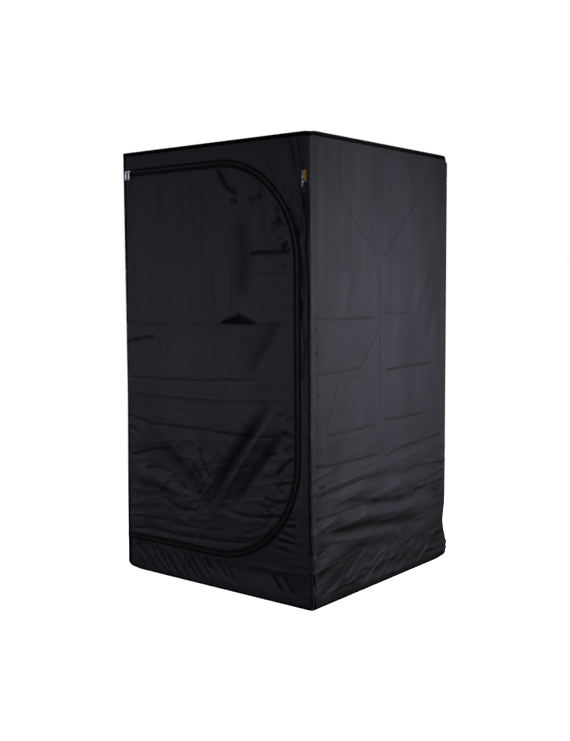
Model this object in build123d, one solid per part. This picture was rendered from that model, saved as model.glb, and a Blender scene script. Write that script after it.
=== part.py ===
"""Free-standing fabric enclosure tent on a plug-together tube frame.

Millimetres. The origin is on the floor under the middle of the tent, +Z is up, the door is
on the -Y face and its seam hinge is at the -X end of that face.
"""

import os

from build123d import *

# Overall size
WIDTH = 900.0
DEPTH = 900.0
HEIGHT = 1600.0

# Cover
FABRIC = 1.5
BINDING = 3.5  # how far an edge binding reaches in from the outer face
BINDING_HEIGHT = 12.0
FRONT_INNER_Y = -DEPTH / 2 + 3.6  # inner face of the fixed front panel

# Door and its D-shaped zip
ZIP_TOP = HEIGHT - 74.0
ZIP_BOTTOM = 128.0
ZIP_RIGHT = WIDTH / 2 - 57.0
ZIP_TOP_RADIUS = 350.0
ZIP_BOTTOM_RADIUS = 380.0
ZIP_GAP = 0.5  # from the zip's centre line to each tape
TAPE_WIDTH = 17.0
FRAME_TAPE = 1.2
DOOR_TAPE = 1.0
DOOR_HINGE_GAP = 0.5  # between the corner binding and the door's sewn edge

# Sliders and pulls
SLIDER_X = {"outer": -WIDTH / 2 + 27.0, "inner": -WIDTH / 2 + 43.0}
SLIDER_LENGTH = 14.0
SLIDER_WIDTH = 11.0
SLIDER_PLATE = 2.6
SLIDER_CLEARANCE = 0.3
PULL_PIN_RADIUS = 0.8
PULL_EYE_RADIUS = 1.8
PULL_LENGTH = 27.0
PULL_WIDTH = 8.0
PULL_PLATE = 1.5
LUG_GAP = 7.4
LUG_THICKNESS = 1.6

# Frame
TUBE_RADIUS = 8.0
TUBE_BORE = 7.0
INSET = 16.5  # tube axis to the outer face, on every side
SOCKET_RADIUS = 11.0
SOCKET_BORE = 8.1
SOCKET_LENGTH = 58.0
CORE_RADIUS = 12.5
SEAT = 13.0  # tube end to the middle of its corner connector
SPLIT_Z = HEIGHT / 2
SPIGOT_RADIUS = 6.9
SPIGOT_BORE = 5.9
SPIGOT_LENGTH = 50.0

# Hanging bars
BAR_Y = {"front": -200.0, "rear": 200.0}
HOOK_BORE = 8.3
HOOK_RADIUS = 11.3
HOOK_WIDTH = 22.0
HOOK_SOCKET = 50.0

# Floor tray
TRAY_HALF = 421.5
TRAY_WALL = 50.0

# Ports in the back wall: name, x and z of the axis
PORTS = {"upper": (-215.0, 1330.0), "lower": (215.0, 255.0)}
PORT_RADIUS = 75.0
SLEEVE_WALL = 1.2
SLEEVE_LENGTH = 86.5
HEM_RADIUS = 83.0
HEM_WIDTH = 14.0
CHANNEL_RING = 79.6
CHANNEL_RADIUS = 2.1
CORD_RADIUS = 1.6
STRAND_RADIUS = 1.4
STRAND_OFFSET = 1.7
KNOT_RADIUS = 3.6
LOCK_RADIUS = 8.0
LOCK_LENGTH = 23.0
LOCK_BORE = 4.9
BUTTON_RADIUS = 4.5
BUTTON_LENGTH = 17.0
BUTTON_PROUD = 6.0
BUTTON_TRAVEL = 2.2
SPRING_RADIUS = 3.2
SPRING_WIRE = 0.4
SPRING_TURNS = 5

# Sewn-on pieces
LABEL_SIZE = (40.0, 86.0)
LABEL_TOP = HEIGHT - 115.0
STRAP_SIZE = (25.0, 190.0)
STRAP_TOPS = (HEIGHT - 330.0, HEIGHT - 1010.0)
STRAP_Y = -DEPTH / 2 + 22.0
SEWN_THICKNESS = 1.0

HALF_W, HALF_D = WIDTH / 2, DEPTH / 2
AXIS_X, AXIS_Y = HALF_W - INSET, HALF_D - INSET
AXIS_LOW, AXIS_HIGH = INSET, HEIGHT - INSET
SIDES = {"left": -1, "right": 1}
ENDS = {"front": -1, "rear": 1}


def save(name, shape):
    export_step(shape, f"parts/{name}.step")


def block(low, high):
    """A box between two corners."""
    size = [b - a for a, b in zip(low, high)]
    return Pos(*low) * Box(*size, align=(Align.MIN, Align.MIN, Align.MIN))


def rod(start, end, radius):
    """A round bar between two points."""
    run = Vector(*end) - Vector(*start)
    place = Plane(origin=start, z_dir=run)
    return place * Cylinder(radius, run.length, align=(Align.CENTER, Align.CENTER, Align.MIN))


def tube(start, end, radius, bore):
    return rod(start, end, radius) - rod(start, end, bore)


def upright_plate(face, inner_y, thickness):
    """A face drawn in x and z, made solid from inner_y towards -Y."""
    return extrude(Plane((0, inner_y, 0), x_dir=(1, 0, 0), z_dir=(0, -1, 0)) * face, thickness)


def door_face(grow, left):
    """The D-shaped outline inside the zip, grown outwards, with its straight side at x = left."""
    right = ZIP_RIGHT + grow
    top, bottom = ZIP_TOP + grow, ZIP_BOTTOM - grow
    high, low = ZIP_TOP_RADIUS + grow, ZIP_BOTTOM_RADIUS + grow
    return make_face(
        [
            Line((left, bottom), (right - low, bottom)),
            CenterArc((right - low, bottom + low), low, -90, 90),
            Line((right, bottom + low), (right, top - high)),
            CenterArc((right - high, top - high), high, 0, 90),
            Line((right - high, top), (left, top)),
            Line((left, top), (left, bottom)),
        ]
    )


def zip_tape(inner_grow, outer_grow, left):
    return door_face(outer_grow, left) - door_face(inner_grow, left)


# The frame ------------------------------------------------------------------------------------


def connector(x_side, y_side, level):
    """A three-way corner: a round core and three blind sockets that point along the frame."""
    centre = (x_side * AXIS_X, y_side * AXIS_Y, AXIS_HIGH if level > 0 else AXIS_LOW)
    body = Pos(*centre) * Sphere(CORE_RADIUS)
    for direction in ((-x_side, 0, 0), (0, -y_side, 0), (0, 0, -level)):
        mouth = [c + d * SOCKET_LENGTH for c, d in zip(centre, direction)]
        seat = [c + d * SEAT for c, d in zip(centre, direction)]
        body += rod(centre, mouth, SOCKET_RADIUS)
        body -= rod(seat, mouth, SOCKET_BORE)
    return body


def lower_post(x, y):
    """The lower half of a post, with a reduced spigot at its top."""
    foot, neck, tip = AXIS_LOW + SEAT, SPLIT_Z - TUBE_RADIUS, SPLIT_Z + SPIGOT_LENGTH
    body = rod((x, y, foot), (x, y, SPLIT_Z), TUBE_RADIUS)
    body += rod((x, y, SPLIT_Z), (x, y, tip), SPIGOT_RADIUS)
    body -= rod((x, y, foot), (x, y, neck), TUBE_BORE)
    return body - rod((x, y, neck), (x, y, tip), SPIGOT_BORE)


def upper_post(x, y):
    return tube((x, y, SPLIT_Z), (x, y, AXIS_HIGH - SEAT), TUBE_RADIUS, TUBE_BORE)


def cross_rail(y, z):
    end = AXIS_X - SEAT
    return tube((-end, y, z), (end, y, z), TUBE_RADIUS, TUBE_BORE)


def side_rail(x, z):
    end = AXIS_Y - SEAT
    return tube((x, -end, z), (x, end, z), TUBE_RADIUS, TUBE_BORE)


def build_frame():
    for end, y_side in ENDS.items():
        for side, x_side in SIDES.items():
            x, y = x_side * AXIS_X, y_side * AXIS_Y
            save(f"connector_top_{end}_{side}", connector(x_side, y_side, 1))
            save(f"connector_bottom_{end}_{side}", connector(x_side, y_side, -1))
            save(f"post_lower_{end}_{side}", lower_post(x, y))
            save(f"post_upper_{end}_{side}", upper_post(x, y))
        save(f"rail_top_{end}", cross_rail(y_side * AXIS_Y, AXIS_HIGH))
        save(f"rail_bottom_{end}", cross_rail(y_side * AXIS_Y, AXIS_LOW))
    for side, x_side in SIDES.items():
        save(f"rail_top_{side}", side_rail(x_side * AXIS_X, AXIS_HIGH))
        save(f"rail_bottom_{side}", side_rail(x_side * AXIS_X, AXIS_LOW))


def bar_hook(x_side, y):
    """A hook that lies over a top side rail, with a socket for the hanging bar."""
    x, z = x_side * AXIS_X, AXIS_HIGH
    back, front = y - HOOK_WIDTH / 2, y + HOOK_WIDTH / 2
    mouth = x - x_side * HOOK_SOCKET
    body = rod((x, back, z), (x, front, z), HOOK_RADIUS)
    body += rod((x - x_side * HOOK_RADIUS / 2, y, z), (mouth, y, z), SOCKET_RADIUS)
    body -= rod((x - x_side * SEAT, y, z), (mouth, y, z), SOCKET_BORE)
    body -= rod((x, back, z), (x, front, z), HOOK_BORE)
    open_low = (min(x, x + x_side * HOOK_RADIUS * 2), back, z - HOOK_RADIUS * 2)
    open_high = (max(x, x + x_side * HOOK_RADIUS * 2), front, z)
    under_low = (x - HOOK_BORE, back, z - HOOK_RADIUS * 2)
    under_high = (x + HOOK_BORE, front, z)
    return body - block(open_low, open_high) - block(under_low, under_high)


def build_hanging_bars():
    end = AXIS_X - SEAT
    for name, y in BAR_Y.items():
        bar = tube((-end, y, AXIS_HIGH), (end, y, AXIS_HIGH), TUBE_RADIUS, TUBE_BORE)
        save(f"hanging_bar_{name}", bar)
        hooks = [bar_hook(x_side, y) for x_side in SIDES.values()]
        save(f"hanging_bar_{name}_hooks", Compound(hooks))


# The cover ------------------------------------------------------------------------------------


def build_panels():
    in_x, in_y = HALF_W - BINDING, HALF_D - BINDING
    low, high = BINDING_HEIGHT, HEIGHT - BINDING_HEIGHT
    sheet = Pos(0, (low + high) / 2) * Rectangle(2 * in_x, high - low)
    front = sheet - door_face(ZIP_GAP + 3.5, -HALF_W)
    save("front_panel", upright_plate(front, FRONT_INNER_Y, FABRIC))
    for side, x_side in SIDES.items():
        faces = sorted((x_side * HALF_W, x_side * (HALF_W - FABRIC)))
        save(f"{side}_panel", block((faces[0], -in_y, low), (faces[1], in_y, high)))
    back = block((-in_x, HALF_D - FABRIC, low), (in_x, HALF_D, high))
    for x, z in PORTS.values():
        back -= rod((x, HALF_D - FABRIC, z), (x, HALF_D, z), PORT_RADIUS + SLEEVE_WALL)
    save("back_panel", back)
    save("roof_panel", block((-in_x, -in_y, HEIGHT - FABRIC), (in_x, in_y, HEIGHT)))
    save("floor_panel", block((-in_x, -in_y, 0), (in_x, in_y, FABRIC)))


def binding_ring(z):
    """Four straight binding strips round the top or bottom of the cover, z being their foot."""
    top = z + BINDING_HEIGHT
    in_x, in_y = HALF_W - BINDING, HALF_D - BINDING
    strips = []
    for y_side in ENDS.values():
        faces = sorted((y_side * HALF_D, y_side * in_y))
        strips.append(block((-HALF_W, faces[0], z), (HALF_W, faces[1], top)))
    for x_side in SIDES.values():
        faces = sorted((x_side * HALF_W, x_side * in_x))
        strips.append(block((faces[0], -in_y, z), (faces[1], in_y, top)))
    return Compound(strips)


def build_bindings():
    save("roof_binding", binding_ring(HEIGHT - BINDING_HEIGHT))
    save("floor_binding", binding_ring(0))
    for end, y_side in ENDS.items():
        for side, x_side in SIDES.items():
            x_faces = sorted((x_side * HALF_W, x_side * (HALF_W - BINDING)))
            y_faces = sorted((y_side * HALF_D, y_side * (HALF_D - BINDING)))
            low = (x_faces[0], y_faces[0], BINDING_HEIGHT)
            high = (x_faces[1], y_faces[1], HEIGHT - BINDING_HEIGHT)
            save(f"corner_binding_{end}_{side}", block(low, high))


def build_floor_tray():
    outer = block((-TRAY_HALF, -TRAY_HALF, FABRIC), (TRAY_HALF, TRAY_HALF, TRAY_WALL))
    inner = TRAY_HALF - FABRIC
    save("floor_tray", outer - block((-inner, -inner, 2 * FABRIC), (inner, inner, TRAY_WALL)))


def build_door():
    hinge_edge = -HALF_W + BINDING + DOOR_HINGE_GAP
    flap = door_face(-ZIP_GAP, hinge_edge)
    save("door_flap", upright_plate(flap, -HALF_D + FABRIC, FABRIC))
    door_tape = zip_tape(-ZIP_GAP - TAPE_WIDTH, -ZIP_GAP, hinge_edge)
    save("zipper_tape_door", upright_plate(door_tape, -HALF_D, DOOR_TAPE))
    frame_tape = zip_tape(ZIP_GAP, ZIP_GAP + TAPE_WIDTH, -HALF_W + BINDING)
    save("zipper_tape_frame", upright_plate(frame_tape, FRONT_INNER_Y - FABRIC, FRAME_TAPE))


def slider(x):
    """A slider's front shell, with two lugs and the pin that carries its pull."""
    inner_y = -HALF_D - DOOR_TAPE - SLIDER_CLEARANCE
    outer_y = inner_y - SLIDER_PLATE
    pin_y = outer_y - PULL_EYE_RADIUS - SLIDER_CLEARANCE
    plate = block(
        (x - SLIDER_LENGTH / 2, outer_y, ZIP_TOP - SLIDER_WIDTH / 2),
        (x + SLIDER_LENGTH / 2, inner_y, ZIP_TOP + SLIDER_WIDTH / 2),
    )
    body = fillet(plate.edges().filter_by(Axis.Y), 3.0)
    lug_outer = LUG_GAP / 2 + LUG_THICKNESS
    for direction in (-1, 1):
        faces = sorted((x + direction * LUG_GAP / 2, x + direction * lug_outer))
        body += rod((faces[0], pin_y, ZIP_TOP), (faces[1], pin_y, ZIP_TOP), PULL_EYE_RADIUS)
        low = (faces[0], pin_y, ZIP_TOP - PULL_EYE_RADIUS)
        body += block(low, (faces[1], outer_y, ZIP_TOP + PULL_EYE_RADIUS))
    left, right = x - lug_outer, x + lug_outer
    return body + rod((left, pin_y, ZIP_TOP), (right, pin_y, ZIP_TOP), PULL_PIN_RADIUS), pin_y


def pull(x, pin_y):
    """A pull tab that hangs from the slider's pin by a rolled eye."""
    width = LUG_GAP - 2 * SLIDER_CLEARANCE
    left, right = x - width / 2, x + width / 2
    neck = block(
        (left, pin_y - PULL_PLATE / 2, ZIP_TOP - 9.0),
        (right, pin_y + PULL_PLATE / 2, ZIP_TOP),
    )
    grip = block(
        (x - PULL_WIDTH / 2, pin_y - PULL_PLATE / 2, ZIP_TOP - PULL_LENGTH),
        (x + PULL_WIDTH / 2, pin_y + PULL_PLATE / 2, ZIP_TOP - 8.0),
    )
    grip = fillet(grip.edges().filter_by(Axis.Y), 2.0)
    body = neck + grip + rod((left, pin_y, ZIP_TOP), (right, pin_y, ZIP_TOP), PULL_EYE_RADIUS)
    hole_z = ZIP_TOP - PULL_LENGTH + 5.5
    body -= rod((x, pin_y - PULL_PLATE, hole_z), (x, pin_y + PULL_PLATE, hole_z), 1.8)
    bore = PULL_PIN_RADIUS + 0.05
    return body - rod((left, pin_y, ZIP_TOP), (right, pin_y, ZIP_TOP), bore)


def build_sliders():
    for name, x in SLIDER_X.items():
        body, pin_y = slider(x)
        save(f"zipper_slider_{name}", body)
        save(f"zipper_pull_{name}", pull(x, pin_y))


def build_sewn_pieces():
    width, height = LABEL_SIZE
    face_y = FRONT_INNER_Y - FABRIC
    right = HALF_W - BINDING - 1.5
    low = (right - width, face_y - SEWN_THICKNESS, LABEL_TOP - height)
    save("label_tag", block(low, (right, face_y, LABEL_TOP)))
    width, height = STRAP_SIZE
    straps = [
        block(
            (-HALF_W - SEWN_THICKNESS, STRAP_Y, top - height),
            (-HALF_W, STRAP_Y + width, top),
        )
        for top in STRAP_TOPS
    ]
    save("door_tieback_straps", Compound(straps))


# The ports ------------------------------------------------------------------------------------

SLEEVE_START = HALF_D - FABRIC
SLEEVE_END = SLEEVE_START + SLEEVE_LENGTH
CORD_Y = SLEEVE_END - HEM_WIDTH / 2
LOCK_DROP = HEM_RADIUS + LOCK_RADIUS + 1.0  # port axis down to the cord lock's axis
LOCK_END = CORD_Y + 7.0
LOCK_START = LOCK_END - LOCK_LENGTH
LOCK_FLOOR = LOCK_START + 3.0
BUTTON_END = LOCK_END + BUTTON_PROUD
BUTTON_START = BUTTON_END - BUTTON_LENGTH
CORD_SLOT = (7.4, 3.8)  # the cord's passage through a cord lock, along x and y


def cord_passage(x, z_low, z_high, y_low, y_high):
    """The room that the two strands of a drawcord need."""
    return block((x - CORD_SLOT[0] / 2, y_low, z_low), (x + CORD_SLOT[0] / 2, y_high, z_high))


def port_ring(x, z, ring_radius, section_radius):
    """A torus round a port's axis, in the plane of the drawcord."""
    place = Plane((x, CORD_Y, z), x_dir=(1, 0, 0), z_dir=(0, 1, 0))
    return place * Torus(ring_radius, section_radius)


def port_sleeve(x, z):
    """A round sleeve with a hem at its mouth, a hollow channel in the hem and a cord exit."""
    start, end = (x, SLEEVE_START, z), (x, SLEEVE_END, z)
    hem_start = (x, SLEEVE_END - HEM_WIDTH, z)
    body = rod(start, end, PORT_RADIUS + SLEEVE_WALL) + rod(hem_start, end, HEM_RADIUS)
    body -= rod(start, end, PORT_RADIUS)
    body -= port_ring(x, z, CHANNEL_RING, CHANNEL_RADIUS)
    exit_half = CORD_SLOT[1] / 2
    foot, head = z - HEM_RADIUS - 1.0, z - CHANNEL_RING
    return body - cord_passage(x, foot, head, CORD_Y - exit_half, CORD_Y + exit_half)


def drawcord(x, z):
    """A cord round the channel, whose two ends leave downwards through the lock to a knot."""
    tail = z - LOCK_DROP - LOCK_RADIUS - KNOT_RADIUS
    body = port_ring(x, z, CHANNEL_RING, CORD_RADIUS)
    for offset in (-STRAND_OFFSET, STRAND_OFFSET):
        top = (x + offset, CORD_Y, z - CHANNEL_RING)
        body += rod(top, (x + offset, CORD_Y, tail), STRAND_RADIUS)
    return body + Pos(x, CORD_Y, tail) * Rot(90, 0, 0) * Sphere(KNOT_RADIUS)


def cord_lock_barrel(x, z):
    axis_z = z - LOCK_DROP
    half = CORD_SLOT[1] / 2
    body = rod((x, LOCK_START, axis_z), (x, LOCK_END, axis_z), LOCK_RADIUS)
    body -= rod((x, LOCK_FLOOR, axis_z), (x, LOCK_END, axis_z), LOCK_BORE)
    foot, head = axis_z - LOCK_RADIUS - 1.0, axis_z + LOCK_RADIUS + 1.0
    return body - cord_passage(x, foot, head, CORD_Y - half, CORD_Y + half)


def cord_lock_button(x, z):
    """A spring-loaded plunger, slotted so that the strands stay clear over its travel."""
    axis_z = z - LOCK_DROP
    half = CORD_SLOT[1] / 2
    body = rod((x, BUTTON_START, axis_z), (x, BUTTON_END, axis_z), BUTTON_RADIUS)
    foot, head = axis_z - LOCK_BORE, axis_z + LOCK_BORE
    return body - cord_passage(x, foot, head, CORD_Y - half, CORD_Y + half + BUTTON_TRAVEL)


def cord_lock_spring(x, z):
    """The compression spring between the barrel's floor and the button."""
    axis_z = z - LOCK_DROP
    length = BUTTON_START - LOCK_FLOOR - 2 * SPRING_WIRE - 0.2
    path = Helix(length / SPRING_TURNS, length, SPRING_RADIUS)
    section = Plane(path @ 0, z_dir=path % 0) * Circle(SPRING_WIRE)
    coil = sweep(section, path=path, is_frenet=True)
    start_y = LOCK_FLOOR + SPRING_WIRE + 0.1
    return Plane((x, start_y, axis_z), x_dir=(1, 0, 0), z_dir=(0, 1, 0)) * coil


def build_ports():
    for name, (x, z) in PORTS.items():
        save(f"port_{name}_sleeve", port_sleeve(x, z))
        save(f"port_{name}_drawcord", drawcord(x, z))
        save(f"cord_lock_{name}_barrel", cord_lock_barrel(x, z))
        save(f"cord_lock_{name}_button", cord_lock_button(x, z))
        save(f"cord_lock_{name}_spring", cord_lock_spring(x, z))


def main():
    os.makedirs("parts", exist_ok=True)
    build_frame()
    build_hanging_bars()
    build_panels()
    build_bindings()
    build_floor_tray()
    build_door()
    build_sliders()
    build_sewn_pieces()
    build_ports()


main()
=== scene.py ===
"""Looks of a tall fabric enclosure tent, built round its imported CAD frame.

Metres, in the CAD frame: +Z is up, the zip door is on the -Y face and its hinge is at -X.
"""

import math

import bpy
import numpy as np
from mathutils import Euler, Matrix, Vector


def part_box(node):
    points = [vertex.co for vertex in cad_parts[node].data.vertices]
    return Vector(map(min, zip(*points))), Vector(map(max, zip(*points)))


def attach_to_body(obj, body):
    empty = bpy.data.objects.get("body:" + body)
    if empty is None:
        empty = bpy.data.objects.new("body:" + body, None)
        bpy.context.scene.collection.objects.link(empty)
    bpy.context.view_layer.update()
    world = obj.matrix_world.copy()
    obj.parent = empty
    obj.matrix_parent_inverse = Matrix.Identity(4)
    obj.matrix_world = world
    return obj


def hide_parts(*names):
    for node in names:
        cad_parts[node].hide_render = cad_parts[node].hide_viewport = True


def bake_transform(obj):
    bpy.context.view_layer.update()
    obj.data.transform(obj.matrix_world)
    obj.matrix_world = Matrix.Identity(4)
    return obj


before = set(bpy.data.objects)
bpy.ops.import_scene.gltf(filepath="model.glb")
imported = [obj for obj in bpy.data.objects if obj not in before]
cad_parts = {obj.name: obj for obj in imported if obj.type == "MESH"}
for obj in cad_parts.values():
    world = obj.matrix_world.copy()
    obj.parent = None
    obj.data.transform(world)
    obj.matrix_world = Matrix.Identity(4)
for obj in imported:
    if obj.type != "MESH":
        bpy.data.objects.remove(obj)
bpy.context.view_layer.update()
MM = 0.001

# Sizes read from the frame
ROOF_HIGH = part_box("roof_binding")[1]
DOOR_LOW, DOOR_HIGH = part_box("door_flap")
TRAY_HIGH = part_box("floor_tray")[1]
HALF, HEIGHT = ROOF_HIGH.x, ROOF_HIGH.z
HINGE_X = DOOR_LOW.x
ZIP_GAP = 0.5 * MM
ZIP_RIGHT = DOOR_HIGH.x + ZIP_GAP
ZIP_TOP = DOOR_HIGH.z + ZIP_GAP
ZIP_BOTTOM = DOOR_LOW.z - ZIP_GAP
ZIP_TOP_RADIUS = 0.350
ZIP_BOTTOM_RADIUS = 0.380
TAPE_WIDTH = 17 * MM
OUTER_TAPE_WIDTH = 11.5 * MM  # what shows of the outer tape beside the cloth that laps over it
DOOR_OUT = -DOOR_LOW.y - HALF - 0.7 * MM  # how far the door's cloth stands out from the wall plane
FRAME_OUT = -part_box("front_panel")[0].y - HALF
DOOR_TAPE_OUT = -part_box("zipper_tape_door")[0].y - HALF
FRAME_TAPE_OUT = DOOR_TAPE_OUT - 0.2 * MM

# Mesh sizes
FINE_STEP = 4 * MM
ROUGH_STEP = 7 * MM
LINING_STEP = 8 * MM
LINING_GAP = 3 * MM
CORNER_RADIUS = 13 * MM
SPRING_WIRE = 0.4 * MM
COIL_PITCH = 2.4 * MM
POST_ZONE = 0.034  # the width beside each corner where the cloth lies taut over a post
DOOR_FOLD_SCALE = 1.3  # how much stronger the door's soft folds are than their table says

# Each wall's outward direction and its own horizontal direction, left to right from outside
WALLS = {
    "front": ((0, -1, 0), (1, 0, 0)),
    "right": ((1, 0, 0), (0, 1, 0)),
    "back": ((0, 1, 0), (-1, 0, 0)),
    "left": ((-1, 0, 0), (0, -1, 0)),
}
CORNERS = {"front_left": (-1, -1), "front_right": (1, -1), "rear_right": (1, 1), "rear_left": (-1, 1)}


# Small numeric tools --------------------------------------------------------------------------


def smoothstep(low, high, value):
    t = np.clip((value - low) / (high - low), 0, 1)
    return t * t * (3 - 2 * t)


def full_turn(count):
    """Angles evenly spaced round a circle."""
    return np.linspace(0, 2 * math.pi, count + 1)[:-1]


def noise(x, y, seed):
    """Smooth value noise from -1 to 1, one cell per unit."""
    table = np.random.default_rng(seed).uniform(-1, 1, (256, 256))
    x, y = np.broadcast_arrays(np.asarray(x, float), np.asarray(y, float))
    cell_x, cell_y = np.floor(x).astype(int), np.floor(y).astype(int)
    fx, fy = x - cell_x, y - cell_y
    fx, fy = fx * fx * fx * (fx * (fx * 6 - 15) + 10), fy * fy * fy * (fy * (fy * 6 - 15) + 10)
    corner = [[table[(cell_x + i) % 256, (cell_y + j) % 256] for j in (0, 1)] for i in (0, 1)]
    near = corner[0][0] * (1 - fy) + corner[0][1] * fy
    far = corner[1][0] * (1 - fy) + corner[1][1] * fy
    return near * (1 - fx) + far * fx


def crumple(x, y, seed):
    """Noise with sharp ridges and round hollows, as in creased cloth, about zero."""
    ridges = 1 - np.abs(noise(x, y, seed))
    return 2 * ridges * ridges - 1


def turned(u, z, angle, across, along):
    """Coordinates along and across a direction, in units of the two given lengths."""
    c, s = math.cos(math.radians(angle)), math.sin(math.radians(angle))
    return (u * c + z * s) / along, (-u * s + z * c) / across


def spline(points, count=14):
    """A Catmull-Rom curve through a few points."""
    points = np.array(points, float)
    ends = np.vstack([2 * points[0] - points[1], points, 2 * points[-1] - points[-2]])
    t = np.linspace(0, len(points) - 1, count)
    i = np.minimum(t.astype(int), len(points) - 2)
    f = (t - i)[:, None]
    a, b, c, d = ends[i], ends[i + 1], ends[i + 2], ends[i + 3]
    return 0.5 * (2 * b + (c - a) * f + (2 * a - 5 * b + 4 * c - d) * f**2 + (3 * b - a - 3 * c + d) * f**3)


def line_distance(u, z, line):
    """Signed distance to a line of points, positive on its left, and the share along it."""
    best = np.full(u.shape, 1e9)
    signed, along = np.zeros(u.shape), np.zeros(u.shape)
    steps = len(line) - 1
    for k in range(steps):
        a, d = line[k], line[k + 1] - line[k]
        ru, rz = u - a[0], z - a[1]
        t = np.clip((ru * d[0] + rz * d[1]) / max(d @ d, 1e-12), 0, 1)
        gap = np.hypot(ru - t * d[0], rz - t * d[1])
        near = gap < best
        best = np.where(near, gap, best)
        signed = np.where(near, np.copysign(gap, d[0] * rz - d[1] * ru), signed)
        along = np.where(near, (k + t) / steps, along)
    return signed, along


def fold(u, z, points, height, left, right, taper=0.25, crisp=False):
    """A fold along a few points: its height, its reach on each side and how its ends fade."""
    out = np.zeros(u.shape)
    line = spline(points)
    reach = 3.2 * max(left, right)
    low, high = line.min(0) - reach, line.max(0) + reach
    near = (u > low[0]) & (u < high[0]) & (z > low[1]) & (z < high[1])
    if not near.any():
        return out
    signed, along = line_distance(u[near], z[near], line)
    width = np.where(signed > 0, left, right)
    shape = np.exp(-np.abs(signed) / width) if crisp else np.exp(-((signed / width) ** 2))
    ends = smoothstep(0, taper, along) * smoothstep(1, 1 - taper, along)
    out[near] = height * shape * ends
    return out


def patch(u, z, centre, size):
    return np.exp(-(((u - centre[0]) / size[0]) ** 2) - ((z - centre[1]) / size[1]) ** 2)


def puckers(along, away, spacing, reach, height, seed, slant=0.0):
    """Short wrinkles that leave a seam: along it, and away from it."""
    shape = crumple((along + slant * away) / spacing, away / (2.5 * reach), seed)
    strength = 0.6 + 0.4 * noise(along / (5 * spacing), 0 * along, seed + 1)
    return height * shape * strength * np.exp(-np.maximum(away, 0) / reach)


def tucks(u, z, start, end, count, away, reach, depth, seed):
    """Short sharp wrinkles along a seam from start to end, which run off the way that away points."""
    chance = np.random.default_rng(seed)
    start, end, away = (np.array(v, float) for v in (start, end, away))
    total = np.zeros(u.shape)
    for k in range(count):
        foot = start + (end - start) * (k + chance.uniform(-0.5, 1.5)) / count
        foot = foot + away * chance.uniform(0, 0.4) * reach
        turn, bend = np.radians(chance.uniform(-34, 34)), chance.uniform(-0.25, 0.25)
        length = reach * chance.uniform(0.45, 1.3)
        ahead = np.array([away[0] * math.cos(turn) - away[1] * math.sin(turn),
                          away[0] * math.sin(turn) + away[1] * math.cos(turn)])
        aside = np.array([-ahead[1], ahead[0]])
        line = [foot, foot + length * (0.5 * ahead + bend * aside), foot + length * ahead]
        height = -depth * chance.uniform(0.2, 1.2)
        total += fold(u, z, line, height, 2.4 * MM, 5.0 * MM, 0.3, crisp=True)
    return total


# The zip's D-shaped line ------------------------------------------------------------------------


def zip_distance(x, z):
    """Signed distance to the zip's line, negative on the door. The door's left side is open."""
    upper = z > (ZIP_TOP + ZIP_BOTTOM) / 2
    radius = np.where(upper, ZIP_TOP_RADIUS, ZIP_BOTTOM_RADIUS)
    rx = x - (ZIP_RIGHT - radius)
    rz = np.where(upper, z - (ZIP_TOP - radius), (ZIP_BOTTOM + radius) - z)
    straight = np.maximum(rx, rz) - radius
    return np.where((rx > 0) & (rz > 0), np.hypot(rx, rz) - radius, straight)


def zip_lengths():
    top = ZIP_RIGHT - ZIP_TOP_RADIUS - HINGE_X
    side = (ZIP_TOP - ZIP_TOP_RADIUS) - (ZIP_BOTTOM + ZIP_BOTTOM_RADIUS)
    bottom = ZIP_RIGHT - ZIP_BOTTOM_RADIUS - HINGE_X
    return [top, ZIP_TOP_RADIUS * math.pi / 2, side, ZIP_BOTTOM_RADIUS * math.pi / 2, bottom]


def zip_line(step):
    """Points every step along the zip from its top left end, and their outward directions."""
    lengths = zip_lengths()
    total = sum(lengths)
    s = np.linspace(0, total, round(total / step) + 1)
    marks = np.cumsum([0, *lengths])
    part = np.clip(np.searchsorted(marks, s, side="right") - 1, 0, 4)
    rest = s - marks[part]
    radius = np.where(part == 1, ZIP_TOP_RADIUS, ZIP_BOTTOM_RADIUS)
    turn = np.select([part == 0, part == 1, part == 2, part == 3], [0, rest / radius, math.pi / 2,
                     math.pi / 2 + rest / radius], math.pi)
    normal = np.stack([np.sin(turn), np.cos(turn)], 1)
    x = np.select([part == 0, part == 4], [HINGE_X + rest, ZIP_RIGHT - ZIP_BOTTOM_RADIUS - rest],
                  ZIP_RIGHT - radius + radius * normal[:, 0])
    z = np.select([part == 0, part == 1, part == 2, part == 3],
                  [ZIP_TOP, ZIP_TOP - radius + radius * normal[:, 1], ZIP_TOP - ZIP_TOP_RADIUS - rest,
                   ZIP_BOTTOM + radius + radius * normal[:, 1]], ZIP_BOTTOM)
    x = np.where(part == 2, ZIP_RIGHT, x)
    return np.stack([x, z], 1), normal, s


# The cover's shape ------------------------------------------------------------------------------


def rounding(z, radius):
    """How far a rounded bottom corner draws in at a height."""
    drop = np.clip(radius - z, 0, radius)
    return radius - np.sqrt(np.maximum(radius**2 - drop**2, 0))


def corner_inset(corner, z):
    """How far each upright edge of the cover draws in at a height."""
    low_radius = {"front_left": 0.024, "front_right": 0.0, "rear_right": 0.020, "rear_left": 0.024}[corner]
    inset = rounding(z, low_radius)
    if corner == "rear_right":
        inset = inset + 0.0050 * np.exp(-(((z - 0.150) / 0.050) ** 2)) - 0.0045 * smoothstep(0.12, 0.05, z)
        inset = inset + 0.006 * smoothstep(HEIGHT - 0.028, HEIGHT - 0.014, z)
    if corner == "rear_left":
        inset = inset + 0.005 * np.exp(-(((z - 0.21) / 0.06) ** 2))
    if corner == "front_left":
        inset = inset - 0.005 * smoothstep(0.75, 0.10, z)
    return inset


CORNER_DIP = {"front_left": 0.5 * MM, "front_right": 4.0 * MM, "rear_right": 5.0 * MM, "rear_left": 3.0 * MM}


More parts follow.
